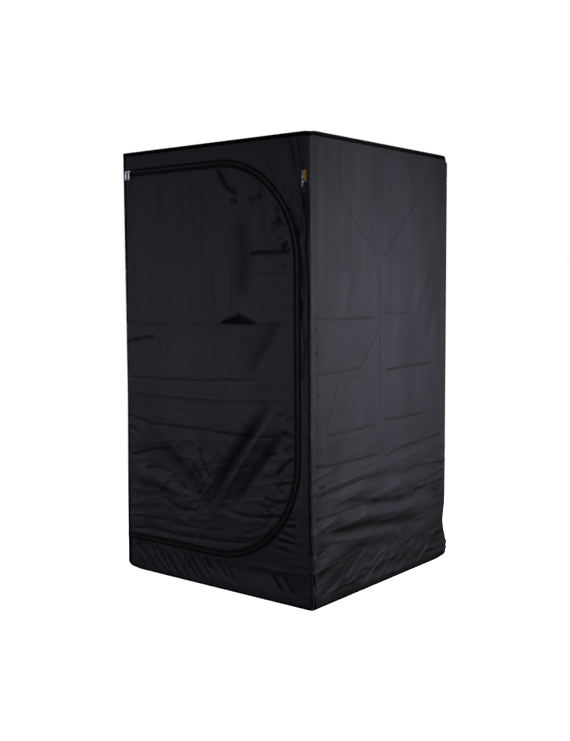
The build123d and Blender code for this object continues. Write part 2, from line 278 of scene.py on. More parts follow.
def envelope(points):
    """Draws the cover's points in near its corners, and rounds the roof's four corners down."""
    points = points.copy()
    for corner, (sx, sy) in CORNERS.items():
        gap = np.hypot(points[:, 0] - sx * HALF, points[:, 1] - sy * HALF)
        pull = corner_inset(corner, points[:, 2]) * np.exp(-((gap / 0.038) ** 2))
        points[:, 0] -= sx * pull
        points[:, 1] -= sy * pull
        dip = CORNER_DIP[corner] * np.exp(-((gap / 0.013) ** 2))
        points[:, 2] -= dip * smoothstep(HEIGHT - 0.03, HEIGHT, points[:, 2])
    return points


def round_corners(points):
    """Rounds the cover's four upright edges in plan."""
    points = points.copy()
    inner = HALF - CORNER_RADIUS
    reach = np.clip(np.abs(points[:, :2]) - inner, 0, None)
    both = reach.min(1) > 0
    share = reach.max(1) / np.maximum(np.hypot(reach[:, 0], reach[:, 1]), 1e-9)
    for axis in (0, 1):
        moved = np.sign(points[:, axis]) * (inner + reach[:, axis] * share)
        points[:, axis] = np.where(both, moved, points[:, axis])
    return points


def wall_points(wall, u, z, out):
    """Points of a wall from its own coordinates and how far each stands out from its plane."""
    normal, across = (np.array(v, float) for v in WALLS[wall])
    flat = u[:, None] * across + z[:, None] * np.array((0, 0, 1.0))
    return envelope(round_corners(flat + normal * (HALF + out)[:, None]))


def front_wave(x, z):
    """The slow swell that the door, its zip and the panel round it share."""
    hold = smoothstep(HALF - 0.03, HALF - 0.12, np.abs(x)) * smoothstep(0.02, 0.10, z)
    hold = hold * smoothstep(HEIGHT - 0.06, HEIGHT - 0.2, z)
    swell = 3.5 * noise(x / 0.28, z / 0.33, 11) + 1.5 * noise(x / 0.11, z / 0.13, 12)
    return MM * hold * (swell - 1.0)


# Creases and folds, in each wall's own coordinates --------------------------------------------------
# All in millimetres. A crisp crease is a few points and a height. A soft fold also has its reach on
# each side.

DOOR_CREASES = [
    ([(40, 1512), (60, 1478), (78, 1448), (102, 1430), (130, 1418)], -4.2),
    ([(75, 1490), (92, 1455)], -1.8),
    ([(98, 1398), (134, 1394)], -3.2),
    ([(182, 1393), (211, 1397), (243, 1408)], -3.2),
    ([(302, 1366), (316, 1342)], -3.2),
    ([(306, 1332), (334, 1300)], -3.2),
    ([(322, 1306), (285, 1282)], -2.4),
    ([(301, 1246), (285, 1232)], -2.0),
    ([(352, 1243), (334, 1218)], -3.2),
    ([(185, 1210), (230, 1211), (300, 1212), (372, 1214)], -4.0),
    ([(235, 1139), (370, 1138)], -1.0),
    ([(-440, 968), (-300, 964), (-100, 966), (100, 966), (372, 974)], 1.1),
    ([(-440, 884), (-370, 899), (-290, 911)], -3.0),
    ([(13, 1200), (14, 1020), (15, 780)], 0.9),
    ([(-246, 950), (-263, 800)], 0.9),
    ([(99, 1140), (103, 990)], -0.8),
    ([(-440, 750), (-300, 750), (-120, 752), (70, 763), (220, 772)], -1.3),
    ([(-420, 694), (-152, 692), (69, 694), (372, 712)], 1.0),
    ([(-440, 604), (-370, 586), (-300, 576), (-154, 577)], -1.8),
    ([(-220, 577), (-12, 574), (162, 570), (341, 581), (374, 586)], -1.8),
    ([(-434, 443), (-322, 473), (-206, 497)], -3.2),
    ([(-434, 560), (-385, 538)], -2.2),
    ([(67, 294), (169, 287), (297, 301), (374, 312)], -2.8),
    ([(-430, 158), (-310, 171), (-167, 168), (66, 179), (240, 203)], -2.4),
    ([(-438, 205), (-260, 212), (-100, 206), (60, 216)], -1.2),
    ([(100, 196), (190, 207), (262, 243), (312, 300)], -1.8),
    ([(150, 222), (220, 245), (268, 289)], -1.3),
    ([(-70, 512), (-46, 445), (-18, 400)], -3.0),
    ([(-100, 440), (-57, 392)], -3.0),
    ([(-5, 462), (30, 500)], -1.8),
    ([(-262, 303), (-183, 272), (-75, 270)], -2.6),
    ([(-300, 345), (-235, 318), (-160, 322)], -1.8),
    ([(-170, 370), (-120, 338), (-60, 345)], -2.0),
    ([(-360, 400), (-270, 412), (-190, 398)], -1.5),
    ([(-190, 460), (-120, 468), (-80, 452)], 1.5),
    ([(315, 596), (372, 586)], -2.2),
    ([(335, 640), (372, 655)], -1.6),
    ([(250, 512), (300, 524)], -2.4),
    ([(292, 443), (335, 486), (372, 512)], -3.4),
    ([(310, 415), (372, 430)], -3.0),
    ([(240, 362), (300, 352), (350, 366)], -3.2),
    ([(210, 330), (290, 335)], -1.8),
    ([(330, 538), (374, 552)], -2.2),
]

DOOR_FOLDS = [
    ([(330, 1000), (246, 880), (150, 760)], -2.6, 16, 30),
    ([(290, 705), (185, 582), (100, 480), (30, 385), (-60, 230)], -8.0, 15, 26),
    ([(310, 690), (215, 570), (135, 468), (60, 365), (-20, 230)], 6.0, 22, 20),
    ([(345, 625), (250, 505), (165, 400), (75, 270)], -6.0, 16, 22),
    ([(-300, 500), (-200, 455), (-80, 360), (0, 260)], -3.5, 24, 34),
    ([(-420, 360), (-280, 360), (-150, 310)], 3.5, 30, 24),
    ([(-20, 1460), (-30, 1200), (-10, 950)], 2.2, 26, 26),
    ([(130, 1380), (150, 1200), (130, 1020)], -3.0, 34, 30),
    ([(220, 1100), (210, 980), (140, 860)], 3.0, 26, 30),
]

PANEL_CREASES = [
    ([(262, 1520), (290, 1455), (332, 1372)], 2.4),
    ([(330, 1470), (356, 1390), (372, 1330)], -1.4),
    ([(428, 1402), (416, 1330), (404, 1258)], -3.0),
    ([(436, 1300), (426, 1180), (410, 1090)], -3.0),
    ([(434, 1140), (420, 1070), (405, 1000)], -2.6),
    ([(440, 960), (425, 870), (413, 780)], -2.4),
    ([(412, 586), (442, 590)], -1.2),
    ([(160, 116), (297, 113), (438, 124)], 1.6),
]

# Where a short slanted wrinkle starts below the door's bottom run and how long it is
STRIP_WRINKLES = [
    (-0.405, 0.060), (-0.337, 0.120), (-0.300, 0.090), (-0.262, 0.125), (-0.212, 0.135), (-0.165, 0.110),
    (-0.132, 0.120), (-0.088, 0.090), (-0.050, 0.060), (0.012, 0.085), (0.040, 0.095), (0.262, 0.090),
    (0.312, 0.090),
]

# Short creases that run from the bottom arc towards the corner: start x and z, and the drop
ARC_PUCKERS = [(0.335, 0.300, -0.002), (0.328, 0.276, -0.002), (0.308, 0.254, 0.020), (0.290, 0.226, 0.012),
               (0.270, 0.196, 0.014)]

SIDE_CREASES = [
    ([(-26, 1585), (-22, 1400), (-22, 1180)], 1.6),
    ([(-22, 1180), (-27, 980), (-25, 760), (-20, 600), (-12, 465)], -2.3),
    ([(-277, 1575), (-274, 1446), (-258, 1395), (-149, 1289), (-22, 1177)], -2.0),
    ([(330, 1540), (292, 1492), (208, 1398), (92, 1287), (-22, 1177)], -2.0),
    ([(-89, 1570), (-86, 1270)], 1.0),
    ([(-355, 1234), (-205, 1226)], -1.6),
    ([(-345, 1163), (-140, 1152)], -1.0),
    ([(-440, 989), (-298, 981), (-45, 980)], -2.2),
    ([(-15, 998), (85, 993), (185, 991)], -2.2),
    ([(-36, 930), (-85, 872), (-123, 831), (-150, 803)], -2.4),
    ([(-436, 797), (-326, 799), (-247, 800), (-140, 806)], -2.4),
    ([(-4, 786), (148, 791), (335, 794)], -3.6),
    ([(-288, 773), (-138, 769)], -1.6),
    ([(-365, 586), (-207, 587), (-30, 592)], -2.8),
    ([(-13, 602), (122, 600), (278, 601)], -2.8),
    ([(-436, 491), (-350, 481), (-206, 481), (-45, 480)], -3.2),
    ([(-5, 463), (60, 478), (124, 488), (264, 495), (440, 508)], -3.4),
    ([(-18, 466), (-93, 399), (-150, 338), (-166, 300)], 1.3),
    ([(-8, 462), (103, 376), (197, 288), (240, 225)], -2.0),
    ([(-432, 381), (-312, 392), (-165, 404), (0, 408)], -3.6),
    ([(98, 385), (195, 400), (320, 397), (441, 391)], -4.0),
    ([(-432, 304), (-311, 308), (-174, 314), (-80, 310)], -3.4),
    ([(190, 304), (317, 314), (438, 317)], -3.6),
    ([(-432, 210), (-282, 202), (-132, 191), (45, 181)], -2.2),
    ([(-413, 77), (-329, 91), (-203, 138), (-10, 186)], 3.0),
    ([(-345, 28), (-270, 52), (-195, 80)], 2.8),
    ([(-400, 52), (-330, 60), (-270, 88)], -3.0),
    ([(102, 46), (180, 82)], -3.2),
    ([(150, 36), (226, 70)], -2.6),
    ([(220, 36), (290, 72)], -3.2),
    ([(294, 38), (374, 100)], -3.4),
    ([(350, 250), (438, 262)], -2.6),
    ([(270, 226), (438, 216)], -2.6),
    ([(-286, 760), (-323, 666), (-362, 590)], -2.2),
    ([(-345, 720), (-372, 640), (-392, 570)], -1.7),
    ([(-398, 560), (-376, 505)], -2.2),
    ([(-420, 640), (-395, 600)], -1.8),
]

SIDE_FOLDS = [
    ([(-440, 252), (-301, 240), (-132, 227), (38, 210), (199, 190), (440, 166)], -9, 20, 13),
    ([(-400, 222), (-200, 198), (40, 176), (240, 158), (430, 140)], 7, 20, 34),
    ([(-430, 285), (-280, 276), (-100, 268), (100, 252), (300, 240), (430, 240)], 7, 22, 24),
    ([(-420, 325), (-200, 330), (-20, 300), (120, 290), (280, 286)], -6, 12, 20),
    ([(-420, 360), (-200, 368), (50, 350), (250, 350), (430, 352)], 5, 22, 24),
    ([(-420, 405), (-150, 428), (100, 430), (430, 440)], 3.5, 28, 26),
    ([(324, 1195), (260, 1080), (180, 950)], 2.6, 24, 30),
    ([(400, 1100), (340, 980), (290, 860)], -2.2, 26, 28),
    ([(-200, 1160), (-240, 1050), (-260, 930)], 1.8, 22, 30),
    ([(-360, 115), (-220, 150), (-50, 160)], -6, 18, 22),
    ([(-50, 110), (100, 98), (300, 112)], 4, 26, 24),
    ([(-420, 130), (-340, 150), (-200, 168)], 5, 15, 18),
]


def add_creases(u, z, creases, width, scale=1.0):
    total = np.zeros(u.shape)
    for points, height in creases:
        line = np.multiply(points, MM)
        total += fold(u, z, line, scale * height * MM, width, 1.9 * width, 0.07, crisp=True)
    return total


def add_folds(u, z, folds, scale=1.0):
    total = np.zeros(u.shape)
    for points, height, left, right in folds:
        line = np.multiply(points, MM)
        total += fold(u, z, line, scale * height * MM, left * MM, right * MM, 0.3)
    return total


def border(u, z, side=0.012, top=0.02, bottom=0.02):
    """1 inside a wall and 0 along its sewn edges."""
    hold = smoothstep(HALF, HALF - side, np.abs(u))
    return hold * smoothstep(0, bottom, z) * smoothstep(HEIGHT, HEIGHT - top, z)


def over_posts(u, z, out):
    """Keeps the cloth from sinking into the posts and the rails."""
    beside = smoothstep(HALF - POST_ZONE - 0.03, HALF - POST_ZONE, np.abs(u))
    level = np.maximum(smoothstep(0.06, 0.03, z), smoothstep(HEIGHT - 0.06, HEIGHT - 0.03, z))
    floor = -60 * MM + MM * np.maximum(56.5 * beside, 58.6 * level)
    return np.maximum(out, floor)


def shallow_creasing(u, z, seed):
    """The fine crumpling that is all over, stronger towards the floor."""
    low = 0.5 + 0.8 * smoothstep(1.1, 0.15, z)
    fine = 0.28 * crumple(u / 0.055, z / 0.042, seed) + 0.16 * crumple(u / 0.024, z / 0.02, seed + 1)
    return MM * low * (fine + 0.5 * noise(u / 0.10, z / 0.09, seed + 2))


def hang_lines(u, z, seed, height, spacing=0.055):
    """Soft upright folds where the cloth hangs."""
    wander = 0.03 * noise(0 * u, z / 0.5, seed + 5)
    return MM * height * noise((u + wander) / spacing, z / 0.75, seed)


def front_crisp(x, z):
    """The crisp creases of the door and of the panel round it."""
    door = add_creases(x, z, DOOR_CREASES, 3.2 * MM, 1.25) + pocket(x, z) + zip_tucks(x, z)
    panel = add_creases(x, z, PANEL_CREASES, 5 * MM) + strip_wrinkles(x, z) + arc_puckers(x, z)
    return np.where(zip_distance(x, z) < 0, door, panel)


def front_free(x, z):
    """0 where the zip and the sewn edges hold the front's cloth flat, and 1 elsewhere."""
    return smoothstep(8 * MM, 20 * MM, np.abs(zip_distance(x, z))) * border(x, z)


def front_cloth(x, z):
    """How far the door and the panel round it stand out from their flat places."""
    gap = zip_distance(x, z)
    upper, lower = smoothstep(0.75, 1.15, z), smoothstep(0.72, 0.42, z)
    door = hang_lines(x, z, 21, 3.4) * upper + hang_lines(x, z, 24, 2.0, 0.09) * (1 - upper)
    door += add_folds(x, z, DOOR_FOLDS, DOOR_FOLD_SCALE) + zip_puckers(x, z, np.abs(gap))
    a, b = turned(x, z, 50, 0.030, 0.13)
    door += 2.0 * MM * crumple(a, b, 27) * patch(x, z, (-0.14, 0.37), (0.20, 0.13))
    a, b = turned(x, z, 12, 0.026, 0.12)
    door += 0.7 * MM * crumple(a, b, 28) * lower * smoothstep(0.13, 0.22, z)
    slant = 4.0 * MM * noise((x + 0.18 * z) / 0.016, z / 0.17, 31)
    gathers = 1.6 * MM * crumple(*turned(x, z, -48, 0.022, 0.16), 45)
    gathers = gathers * patch(x, z, (-0.18, 0.06), (0.22, 0.06))
    panel = gathers + slant * smoothstep(0.33, 0.40, x) * smoothstep(0.6, 0.9, z)
    out = np.where(gap < 0, door, panel) + shallow_creasing(x, z, 33) + front_crisp(x, z)
    return over_posts(x, z, out * front_free(x, z))


def pocket(x, z):
    """The deep tuck over one of the door's level creases, straight below and arched above."""
    middle, foot = 0.130, 0.967
    width = np.clip(1 - np.abs(x - middle) / 0.094, 0, 1)
    above = np.clip(z - foot, 0, 1)
    roof = 3 * MM + 19 * MM * width**1.6
    depth = -13 * MM * smoothstep(0, 0.45, width) * np.exp(-((above / roof) ** 2))
    return depth * smoothstep(foot - 5 * MM, foot, z)


def zip_puckers(x, z, away):
    """Short wrinkles inside the zip: few on its straights, more in its top and bottom arcs."""
    along = np.where(x > ZIP_RIGHT - 0.12, z, x)
    right = smoothstep(0.15, 0.30, x)
    arc = patch(x, z, (0.30, 1.33), (0.12, 0.16)) + 1.2 * patch(x, z, (0.33, 0.50), (0.12, 0.16))
    out = puckers(along, away, 0.030, 0.035, 2.4 * MM, 41, 0.5) * np.clip(arc + 0.18 * right, 0, 1.2)
    low_run = smoothstep(0.30, 0.16, z) * smoothstep(0.36, 0.2, x)
    return out + puckers(x, away, 0.05, 0.03, 1.0 * MM, 43, 0.8) * low_run


def zip_tucks(x, z):
    """Sharp little wrinkles that leave the zip where it turns."""
    out = tucks(x, z, (0.372, 0.70), (0.346, 0.38), 15, (-1, 0), 0.060, 2.4 * MM, 46)
    out += tucks(x, z, (0.346, 0.38), (0.262, 0.240), 9, (-0.75, 0.65), 0.055, 1.8 * MM, 47)
    out += tucks(x, z, (0.372, 1.17), (0.322, 1.35), 8, (-1, -0.25), 0.045, 2.4 * MM, 48)
    return out + tucks(x, z, (0.300, 1.38), (0.06, 1.50), 7, (-0.4, -0.9), 0.050, 1.8 * MM, 49)


def strip_wrinkles(x, z):
    """Slanted gathers in the strip under the door."""
    out = np.zeros(x.shape)
    for k, (start, length) in enumerate(STRIP_WRINKLES):
        foot = (start + 0.80 * length, 0.108 - 0.86 * length)
        middle = (start + 0.36 * length, 0.108 - 0.40 * length)
        height = (4.6, 3.4, 5.2)[k % 3] * MM
        out -= fold(x, z, [(start, 0.112), middle, foot], height, 3.4 * MM, 7 * MM, 0.35)
    return out


def arc_puckers(x, z):
    out = np.zeros(x.shape)
    for k, (start, level, drop) in enumerate(ARC_PUCKERS):
        end = (0.384, level - drop)
        out -= fold(x, z, [(start, level), end], (2.2, 4.2)[k % 2] * MM, 3.5 * MM, 7 * MM, 0.3)
    return out


def side_crisp(u, z, seed=0, likeness=1.0):
    """A plain wall's carton folds, and the small tucks along its seams."""
    out = add_creases(u, z, SIDE_CREASES, 2.6 * MM, 1.1 * likeness)
    out += tucks(u, z, (-0.438, 0.04), (-0.438, 0.46), 16, (1, 0.12), 0.070, 4.2 * MM, 71 + seed)
    out += tucks(u, z, (-0.440, 0.46), (-0.440, 0.96), 14, (1, 0.4), 0.042, 2.8 * MM, 72 + seed)
    return out + tucks(u, z, (0.440, 0.05), (0.440, 0.50), 10, (-1, 0.1), 0.085, 2.6 * MM, 73 + seed)


def side_soft(u, z, seed=0, likeness=1.0):
    """A plain wall's soft folds, and its gathers low down."""
    level = 3.4 * crumple(*turned(u, z, 6, 0.030, 0.20), 57 + seed) * smoothstep(0.62, 0.30, z)
    slanted = 5.5 * crumple(*turned(u, z, 28, 0.024, 0.13), 58 + seed) * smoothstep(0.19, 0.06, z)
    return add_folds(u, z, SIDE_FOLDS, 1.45 * likeness) + MM * (level + slanted)


def side_shade(u, z, seed=0, likeness=1.0):
    """Painted shade of a plain wall, from 0 to 1: in its creases and deepest folds, along its foot and by its
    upright edges.
    """
    deep = folds_shade(side_soft(u, z, seed, likeness))
    # hem is painted shade: a dark band where the hem tucks under, and a wider darkening towards the floor,
    # where less light falls
    hem = smoothstep(0.024, 0.012, z) * smoothstep(-0.40, -0.10, u)
    hem += 0.35 * smoothstep(0.27, 0.12, z) * (0.4 + 0.6 * smoothstep(-0.42, -0.05, u))
    return np.clip(creases_shade(side_crisp(u, z, seed, likeness)) + deep + hem + edge_shade(u), 0, 1)


def front_shade(x, z):
    """The same painted shade for the door and the panel round it."""
    deep = folds_shade(add_folds(x, z, DOOR_FOLDS, DOOR_FOLD_SCALE)) * (zip_distance(x, z) < 0)
    tuck = pocket(x, z)
    uneven = np.clip(0.62 + 0.45 * noise(x / 0.030, z / 0.020, 63), 0.1, 1)
    crisp = uneven * creases_shade(0.85 * (front_crisp(x, z) - tuck)) + 0.85 * creases_shade(tuck)
    return np.clip((crisp + deep) * front_free(x, z) + edge_shade(x), 0, 1)


# Painted shade in the hollows of soft folds, deeper hollows darker.
def folds_shade(soft):
    return np.clip(-soft, 0, None) / (11 * MM)


def edge_shade(u):
    """Painted shade along the cloth's upright edges, where it is pulled round the posts, which dims their
    highlight.
    """
    return 0.4 * smoothstep(0.020, 0.006, HALF - np.abs(u))


def creases_shade(crisp):
    """Painted shade in crisp creases, from 0 to 1: more in a valley than on a ridge."""
    valley, ridge = np.clip(-crisp, 0, None) / (2.8 * MM), np.clip(crisp, 0, None) / (4.0 * MM)
    return np.clip(valley**1.3 + ridge, 0, 1)


def side_cloth(u, z, seed=0, likeness=1.0):
    """How far a plain wall stands out: carton folds, gathers low down and puckers at its seams."""
    out = 0.7 * side_crisp(u, z, seed, likeness) + side_soft(u, z, seed, likeness)
    out += hang_lines(u, z, 51 + seed, 1.5, 0.045) * smoothstep(0.8, 1.25, z)
    out += hang_lines(u, z, 54 + seed, 1.6, 0.12)
    edge = HALF + u
    out += puckers(z, edge, 0.024, 0.030, 2.0 * MM, 61 + seed, -0.25) * smoothstep(0.55, 0.35, z)
    edge = HALF - u
    out += puckers(z, edge, 0.028, 0.040, 1.6 * MM, 65 + seed, 0.35) * smoothstep(0.60, 0.40, z)
    out += hem_curl(u, z)
    out += shallow_creasing(u, z, 67 + seed)
    out += post_relief(u)
    return over_posts(u, z, out * border(u, z))


def hem_curl(u, z):
    """The lowest part of a wall tucks under along part of its length."""
    share = smoothstep(-0.12, 0.16, u) * smoothstep(0.44, 0.36, u)
    return -11 * MM * share * smoothstep(0.026, 0.010, z)


def post_relief(u):
    """The cloth sinks a little between the posts, so each post shows as a taut band."""
    return -2.4 * MM * smoothstep(HALF - POST_ZONE + 0.012, HALF - POST_ZONE - 0.016, np.abs(u))


# Meshes -----------------------------------------------------------------------------------------


def new_mesh(name, vertices, faces, materials=(), smooth=True):
    mesh = bpy.data.meshes.new(name)
    mesh.from_pydata([tuple(v) for v in np.asarray(vertices, float)], [], [tuple(map(int, f)) for f in faces])
    mesh.validate()
    for material in materials:
        mesh.materials.append(material)
    piece = bpy.data.objects.new(name, mesh)
    bpy.context.scene.collection.objects.link(piece)
    if smooth:
        mesh.shade_smooth()
    return piece


def grid_faces(rows, columns, close_rows=False, close_columns=False):
    """Quads of a grid of points, rows by columns, which may close on itself either way."""
    r = np.arange(rows if close_rows else rows - 1)
    c = np.arange(columns if close_columns else columns - 1)
    r, c = (a.ravel() for a in np.meshgrid(r, c, indexing="ij"))
    row, next_row, next_c = r * columns, (r + 1) % rows * columns, (c + 1) % columns
    return np.stack([row + c, row + next_c, next_row + next_c, next_row + c], 1)


def cut_grid(u, z, faces, gap):
    """Keeps the quads whose middle has a negative gap, and draws their rim onto the line."""
    keep = faces[gap(u[faces].mean(1), z[faces].mean(1)) < 0]
    count = np.bincount(keep.ravel(), minlength=len(u))
    full = np.bincount(faces.ravel(), minlength=len(u))
    rim = (count > 0) & (count < full)
    distance, step = gap(u, z), 1e-4
    slope_u = (gap(u + step, z) - gap(u - step, z)) / (2 * step)
    slope_z = (gap(u, z + step) - gap(u, z - step)) / (2 * step)
    rim &= np.abs(distance) < 0.012
    u, z = np.where(rim, u - distance * slope_u, u), np.where(rim, z - distance * slope_z, z)
    used, keep = np.unique(keep, return_inverse=True)
    return u[used], z[used], keep.reshape(-1, 4)


def wall_grid(step, low_u=-HALF, high_u=HALF, low_z=0.0, high_z=HEIGHT):
    columns = round((high_u - low_u) / step) + 1
    rows = round((high_z - low_z) / step) + 1
    z, u = np.meshgrid(np.linspace(low_z, high_z, rows), np.linspace(low_u, high_u, columns), indexing="ij")
    return u.ravel(), z.ravel(), grid_faces(rows, columns)


def cloth_piece(name, wall, grid, out, material, shade=None):
    """One sheet of a wall, its faces looking outwards for an outer sheet."""
    u, z, faces = grid
    piece = new_mesh(name, wall_points(wall, u, z, out), faces, [material])
    # shade is the painted shade of creases, folds, the foot and the upright edges, kept as a value on each
    # point
    if shade is not None:
        values = piece.data.attributes.new(PAINTED_SHADE_NAME, "FLOAT", "POINT").data
        values.foreach_set("value", shade.astype(np.float32))
    return piece


def behind(shape, u, z):
    """A lining's place: behind the lowest that the outer cloth comes near each point."""
    reach = 0.5 * LINING_STEP
    shifts = [(a * reach, b * reach) for a in (-1, 0, 1) for b in (-1, 0, 1)]
    return np.min([shape(u + a, z + b) for a, b in shifts], 0)


def lining_gap(edge):
    """The gap between a cloth and its lining, which closes where they are sewn together."""
    return 0.9 * MM + (LINING_GAP - 0.9 * MM) * smoothstep(0, 0.015, edge)


def hinge_blend(piece):
    """Bakes a door piece's placement into its mesh."""
    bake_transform(piece)


def attach(piece, slot, node=None, body="tent"):
    """Makes a piece ride on a body, or bakes a door piece's placement into its mesh, and hides the CAD node
    it stands for if one is given.
    """
    if node:
        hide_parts(node)
    if body == "door":
        hinge_blend(piece)
    else:
        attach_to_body(piece, body)
    return piece


def sheet_piece(piece, slot, node, flat, body="tent", area=None, held="stretched",
                rests_on=("rail_top_front",)):
    """Attaches a sheet of cloth; how large it is and what holds it are given but not used."""
    attach(piece, slot, node, body)
    list(rests_on)


# Materials --------------------------------------------------------------------------------------


PAINTED_SHADE_NAME = "crease"  # the name of the cloth's value for its painted shade, in creases and folds, along its foot and by its upright edges
PAINTED_SHADE_DIMS = 0.85  # the share of its colour that the cloth loses where its painted shade is darkest
CREASE_DULLS = 0.4  # how much rougher it gets there
DIAMOND_TURN = 520.0  # how fast the lining's pattern repeats, in radians per metre


def principled(name, color, roughness, **values):
    material = bpy.data.materials.new(name)
    material.use_nodes = True
    shader = material.node_tree.nodes["Principled BSDF"]
    shader.inputs["Base Color"].default_value = (*color, 1)
    shader.inputs["Roughness"].default_value = roughness
    for key, value in values.items():
        shader.inputs[key.replace("_", " ")].default_value = value
    return material, material.node_tree, shader


def add_node(tree, kind, **values):
    node = tree.nodes.new(kind)
    for key, value in values.items():
        if hasattr(node, key):
            setattr(node, key, value)
        else:
            node.inputs[key.replace("_", " ")].default_value = value
    return node


def math_node(tree, operation, first, second):
    node = add_node(tree, "ShaderNodeMath", operation=operation)
    for socket, value in zip(node.inputs, (first, second)):
        if isinstance(value, (int, float)):
            socket.default_value = value
        else:
            tree.links.new(value, socket)
    return node.outputs[0]


def place_coordinates(tree):
    """X + Y and Z of a point, which run along and up every upright wall."""
    position = add_node(tree, "ShaderNodeTexCoord").outputs["Object"]
    split = add_node(tree, "ShaderNodeSeparateXYZ")
    tree.links.new(position, split.inputs[0])
    return position, math_node(tree, "ADD", split.outputs[0], split.outputs[1]), split.outputs[2]


def wave(tree, value, turn):
    """The sine of a value, which has first been multiplied."""
    return math_node(tree, "SINE", math_node(tree, "MULTIPLY", value, turn), 0)


def weave_height(tree, pitch):
    """A plain weave: threads over and under each other, pitch apart."""
    position, across, up = place_coordinates(tree)
    turn = math.pi / pitch
    warp, weft = wave(tree, across, turn), wave(tree, up, turn)
    return position, math_node(tree, "MULTIPLY", warp, weft)


def vary(tree, position, shader, color, lighter, scale, stretch=(1, 1, 1)):
    """Slight variation of colour over the cloth."""
    mapping = add_node(tree, "ShaderNodeMapping", Scale=stretch)
    tree.links.new(position, mapping.inputs["Vector"])
    spots = add_node(tree, "ShaderNodeTexNoise", Scale=scale, Detail=4.0)
    tree.links.new(mapping.outputs[0], spots.inputs["Vector"])
    ramp = add_node(tree, "ShaderNodeValToRGB")
    ramp.color_ramp.elements[0].position, ramp.color_ramp.elements[1].position = 0.3, 0.7
    ramp.color_ramp.elements[0].color, ramp.color_ramp.elements[1].color = (*color, 1), (*lighter, 1)
    tree.links.new(spots.outputs["Fac"], ramp.inputs[0])
    tree.links.new(ramp.outputs[0], shader.inputs["Base Color"])
    return spots.outputs["Fac"]


def bump(tree, shader, height, distance, strength=1.0, after=None):
    node = add_node(tree, "ShaderNodeBump", Strength=strength, Distance=distance)
    tree.links.new(height, node.inputs["Height"])
    if after:
        tree.links.new(after, node.inputs["Normal"])
    tree.links.new(node.outputs[0], shader.inputs["Normal"])
    return node.outputs[0]


def scaled(color, factor):
    return tuple(min(1.0, c * factor) for c in color)


def fabric(name, color, roughness=0.5, pitch=0.9 * MM, depth=0.10 * MM, sheen=0.04, spec=0.24):
    material, tree, shader = principled(name, color, roughness)
    shader.inputs["Sheen Weight"].default_value = sheen
    shader.inputs["Sheen Roughness"].default_value = 0.45
    shader.inputs["Specular IOR Level"].default_value = spec
    position, weave = weave_height(tree, pitch)
    blotch = vary(tree, position, shader, scaled(color, 0.86), scaled(color, 1.16), 9, (1, 1, 0.35))
    apply_painted_shade(tree, shader, roughness)
    soft = bump(tree, shader, blotch, 0.6 * MM, 0.35)
    bump(tree, shader, weave, depth, 0.6, soft)
    return material


def apply_painted_shade(tree, shader, roughness):
    """Paints shade into the cloth's colour where its painted-shade value is high, and dulls its gloss there.
    """
    crease = add_node(tree, "ShaderNodeAttribute", attribute_name=PAINTED_SHADE_NAME).outputs["Fac"]
    kept = math_node(tree, "SUBTRACT", 1.0, math_node(tree, "MULTIPLY", crease, PAINTED_SHADE_DIMS))
    dimmed = add_node(tree, "ShaderNodeVectorMath", operation="SCALE")
    tree.links.new(shader.inputs["Base Color"].links[0].from_socket, dimmed.inputs[0])
    tree.links.new(kept, dimmed.inputs["Scale"])
    tree.links.new(dimmed.outputs[0], shader.inputs["Base Color"])
    dulled = math_node(tree, "ADD", math_node(tree, "MULTIPLY", crease, CREASE_DULLS), roughness)
    tree.links.new(dulled, shader.inputs["Roughness"])


def foil(name, color):
    """Silvered lining with a small pattern of pressed diamonds."""
    material, tree, shader = principled(name, color, 0.32, Metallic=0.85)
    position, across, up = place_coordinates(tree)
    first = math_node(tree, "ADD", across, up)
    second = math_node(tree, "SUBTRACT", across, up)
    pattern = math_node(tree, "MULTIPLY", wave(tree, first, DIAMOND_TURN), wave(tree, second, DIAMOND_TURN))
    spots = add_node(tree, "ShaderNodeTexNoise", Scale=14.0, Detail=5.0)
    tree.links.new(position, spots.inputs["Vector"])
    soft = bump(tree, shader, spots.outputs["Fac"], 2.0 * MM, 0.5)
    bump(tree, shader, pattern, 0.5 * MM, 0.5, soft)
    return material


def plastic(name, color, roughness):
    material, tree, shader = principled(name, color, roughness)
    position = add_node(tree, "ShaderNodeTexCoord").outputs["Object"]
    grain = vary(tree, position, shader, scaled(color, 0.9), scaled(color, 1.12), 60)
    fine = add_node(tree, "ShaderNodeTexNoise", Scale=900.0, Detail=2.0)
    tree.links.new(position, fine.inputs["Vector"])
    soft = bump(tree, shader, grain, 0.1 * MM, 0.3)
    bump(tree, shader, fine.outputs["Fac"], 0.05 * MM, 0.5, soft)
    return material


def metal(name, color, roughness, metallic=1.0, coat=0.0):
    material, tree, shader = principled(name, color, roughness, Metallic=metallic)
    shader.inputs["Coat Weight"].default_value = coat
    position = add_node(tree, "ShaderNodeTexCoord").outputs["Object"]
    wear = vary(tree, position, shader, scaled(color, 0.85), color, 120)
    bump(tree, shader, wear, 0.04 * MM, 0.4)
    return material


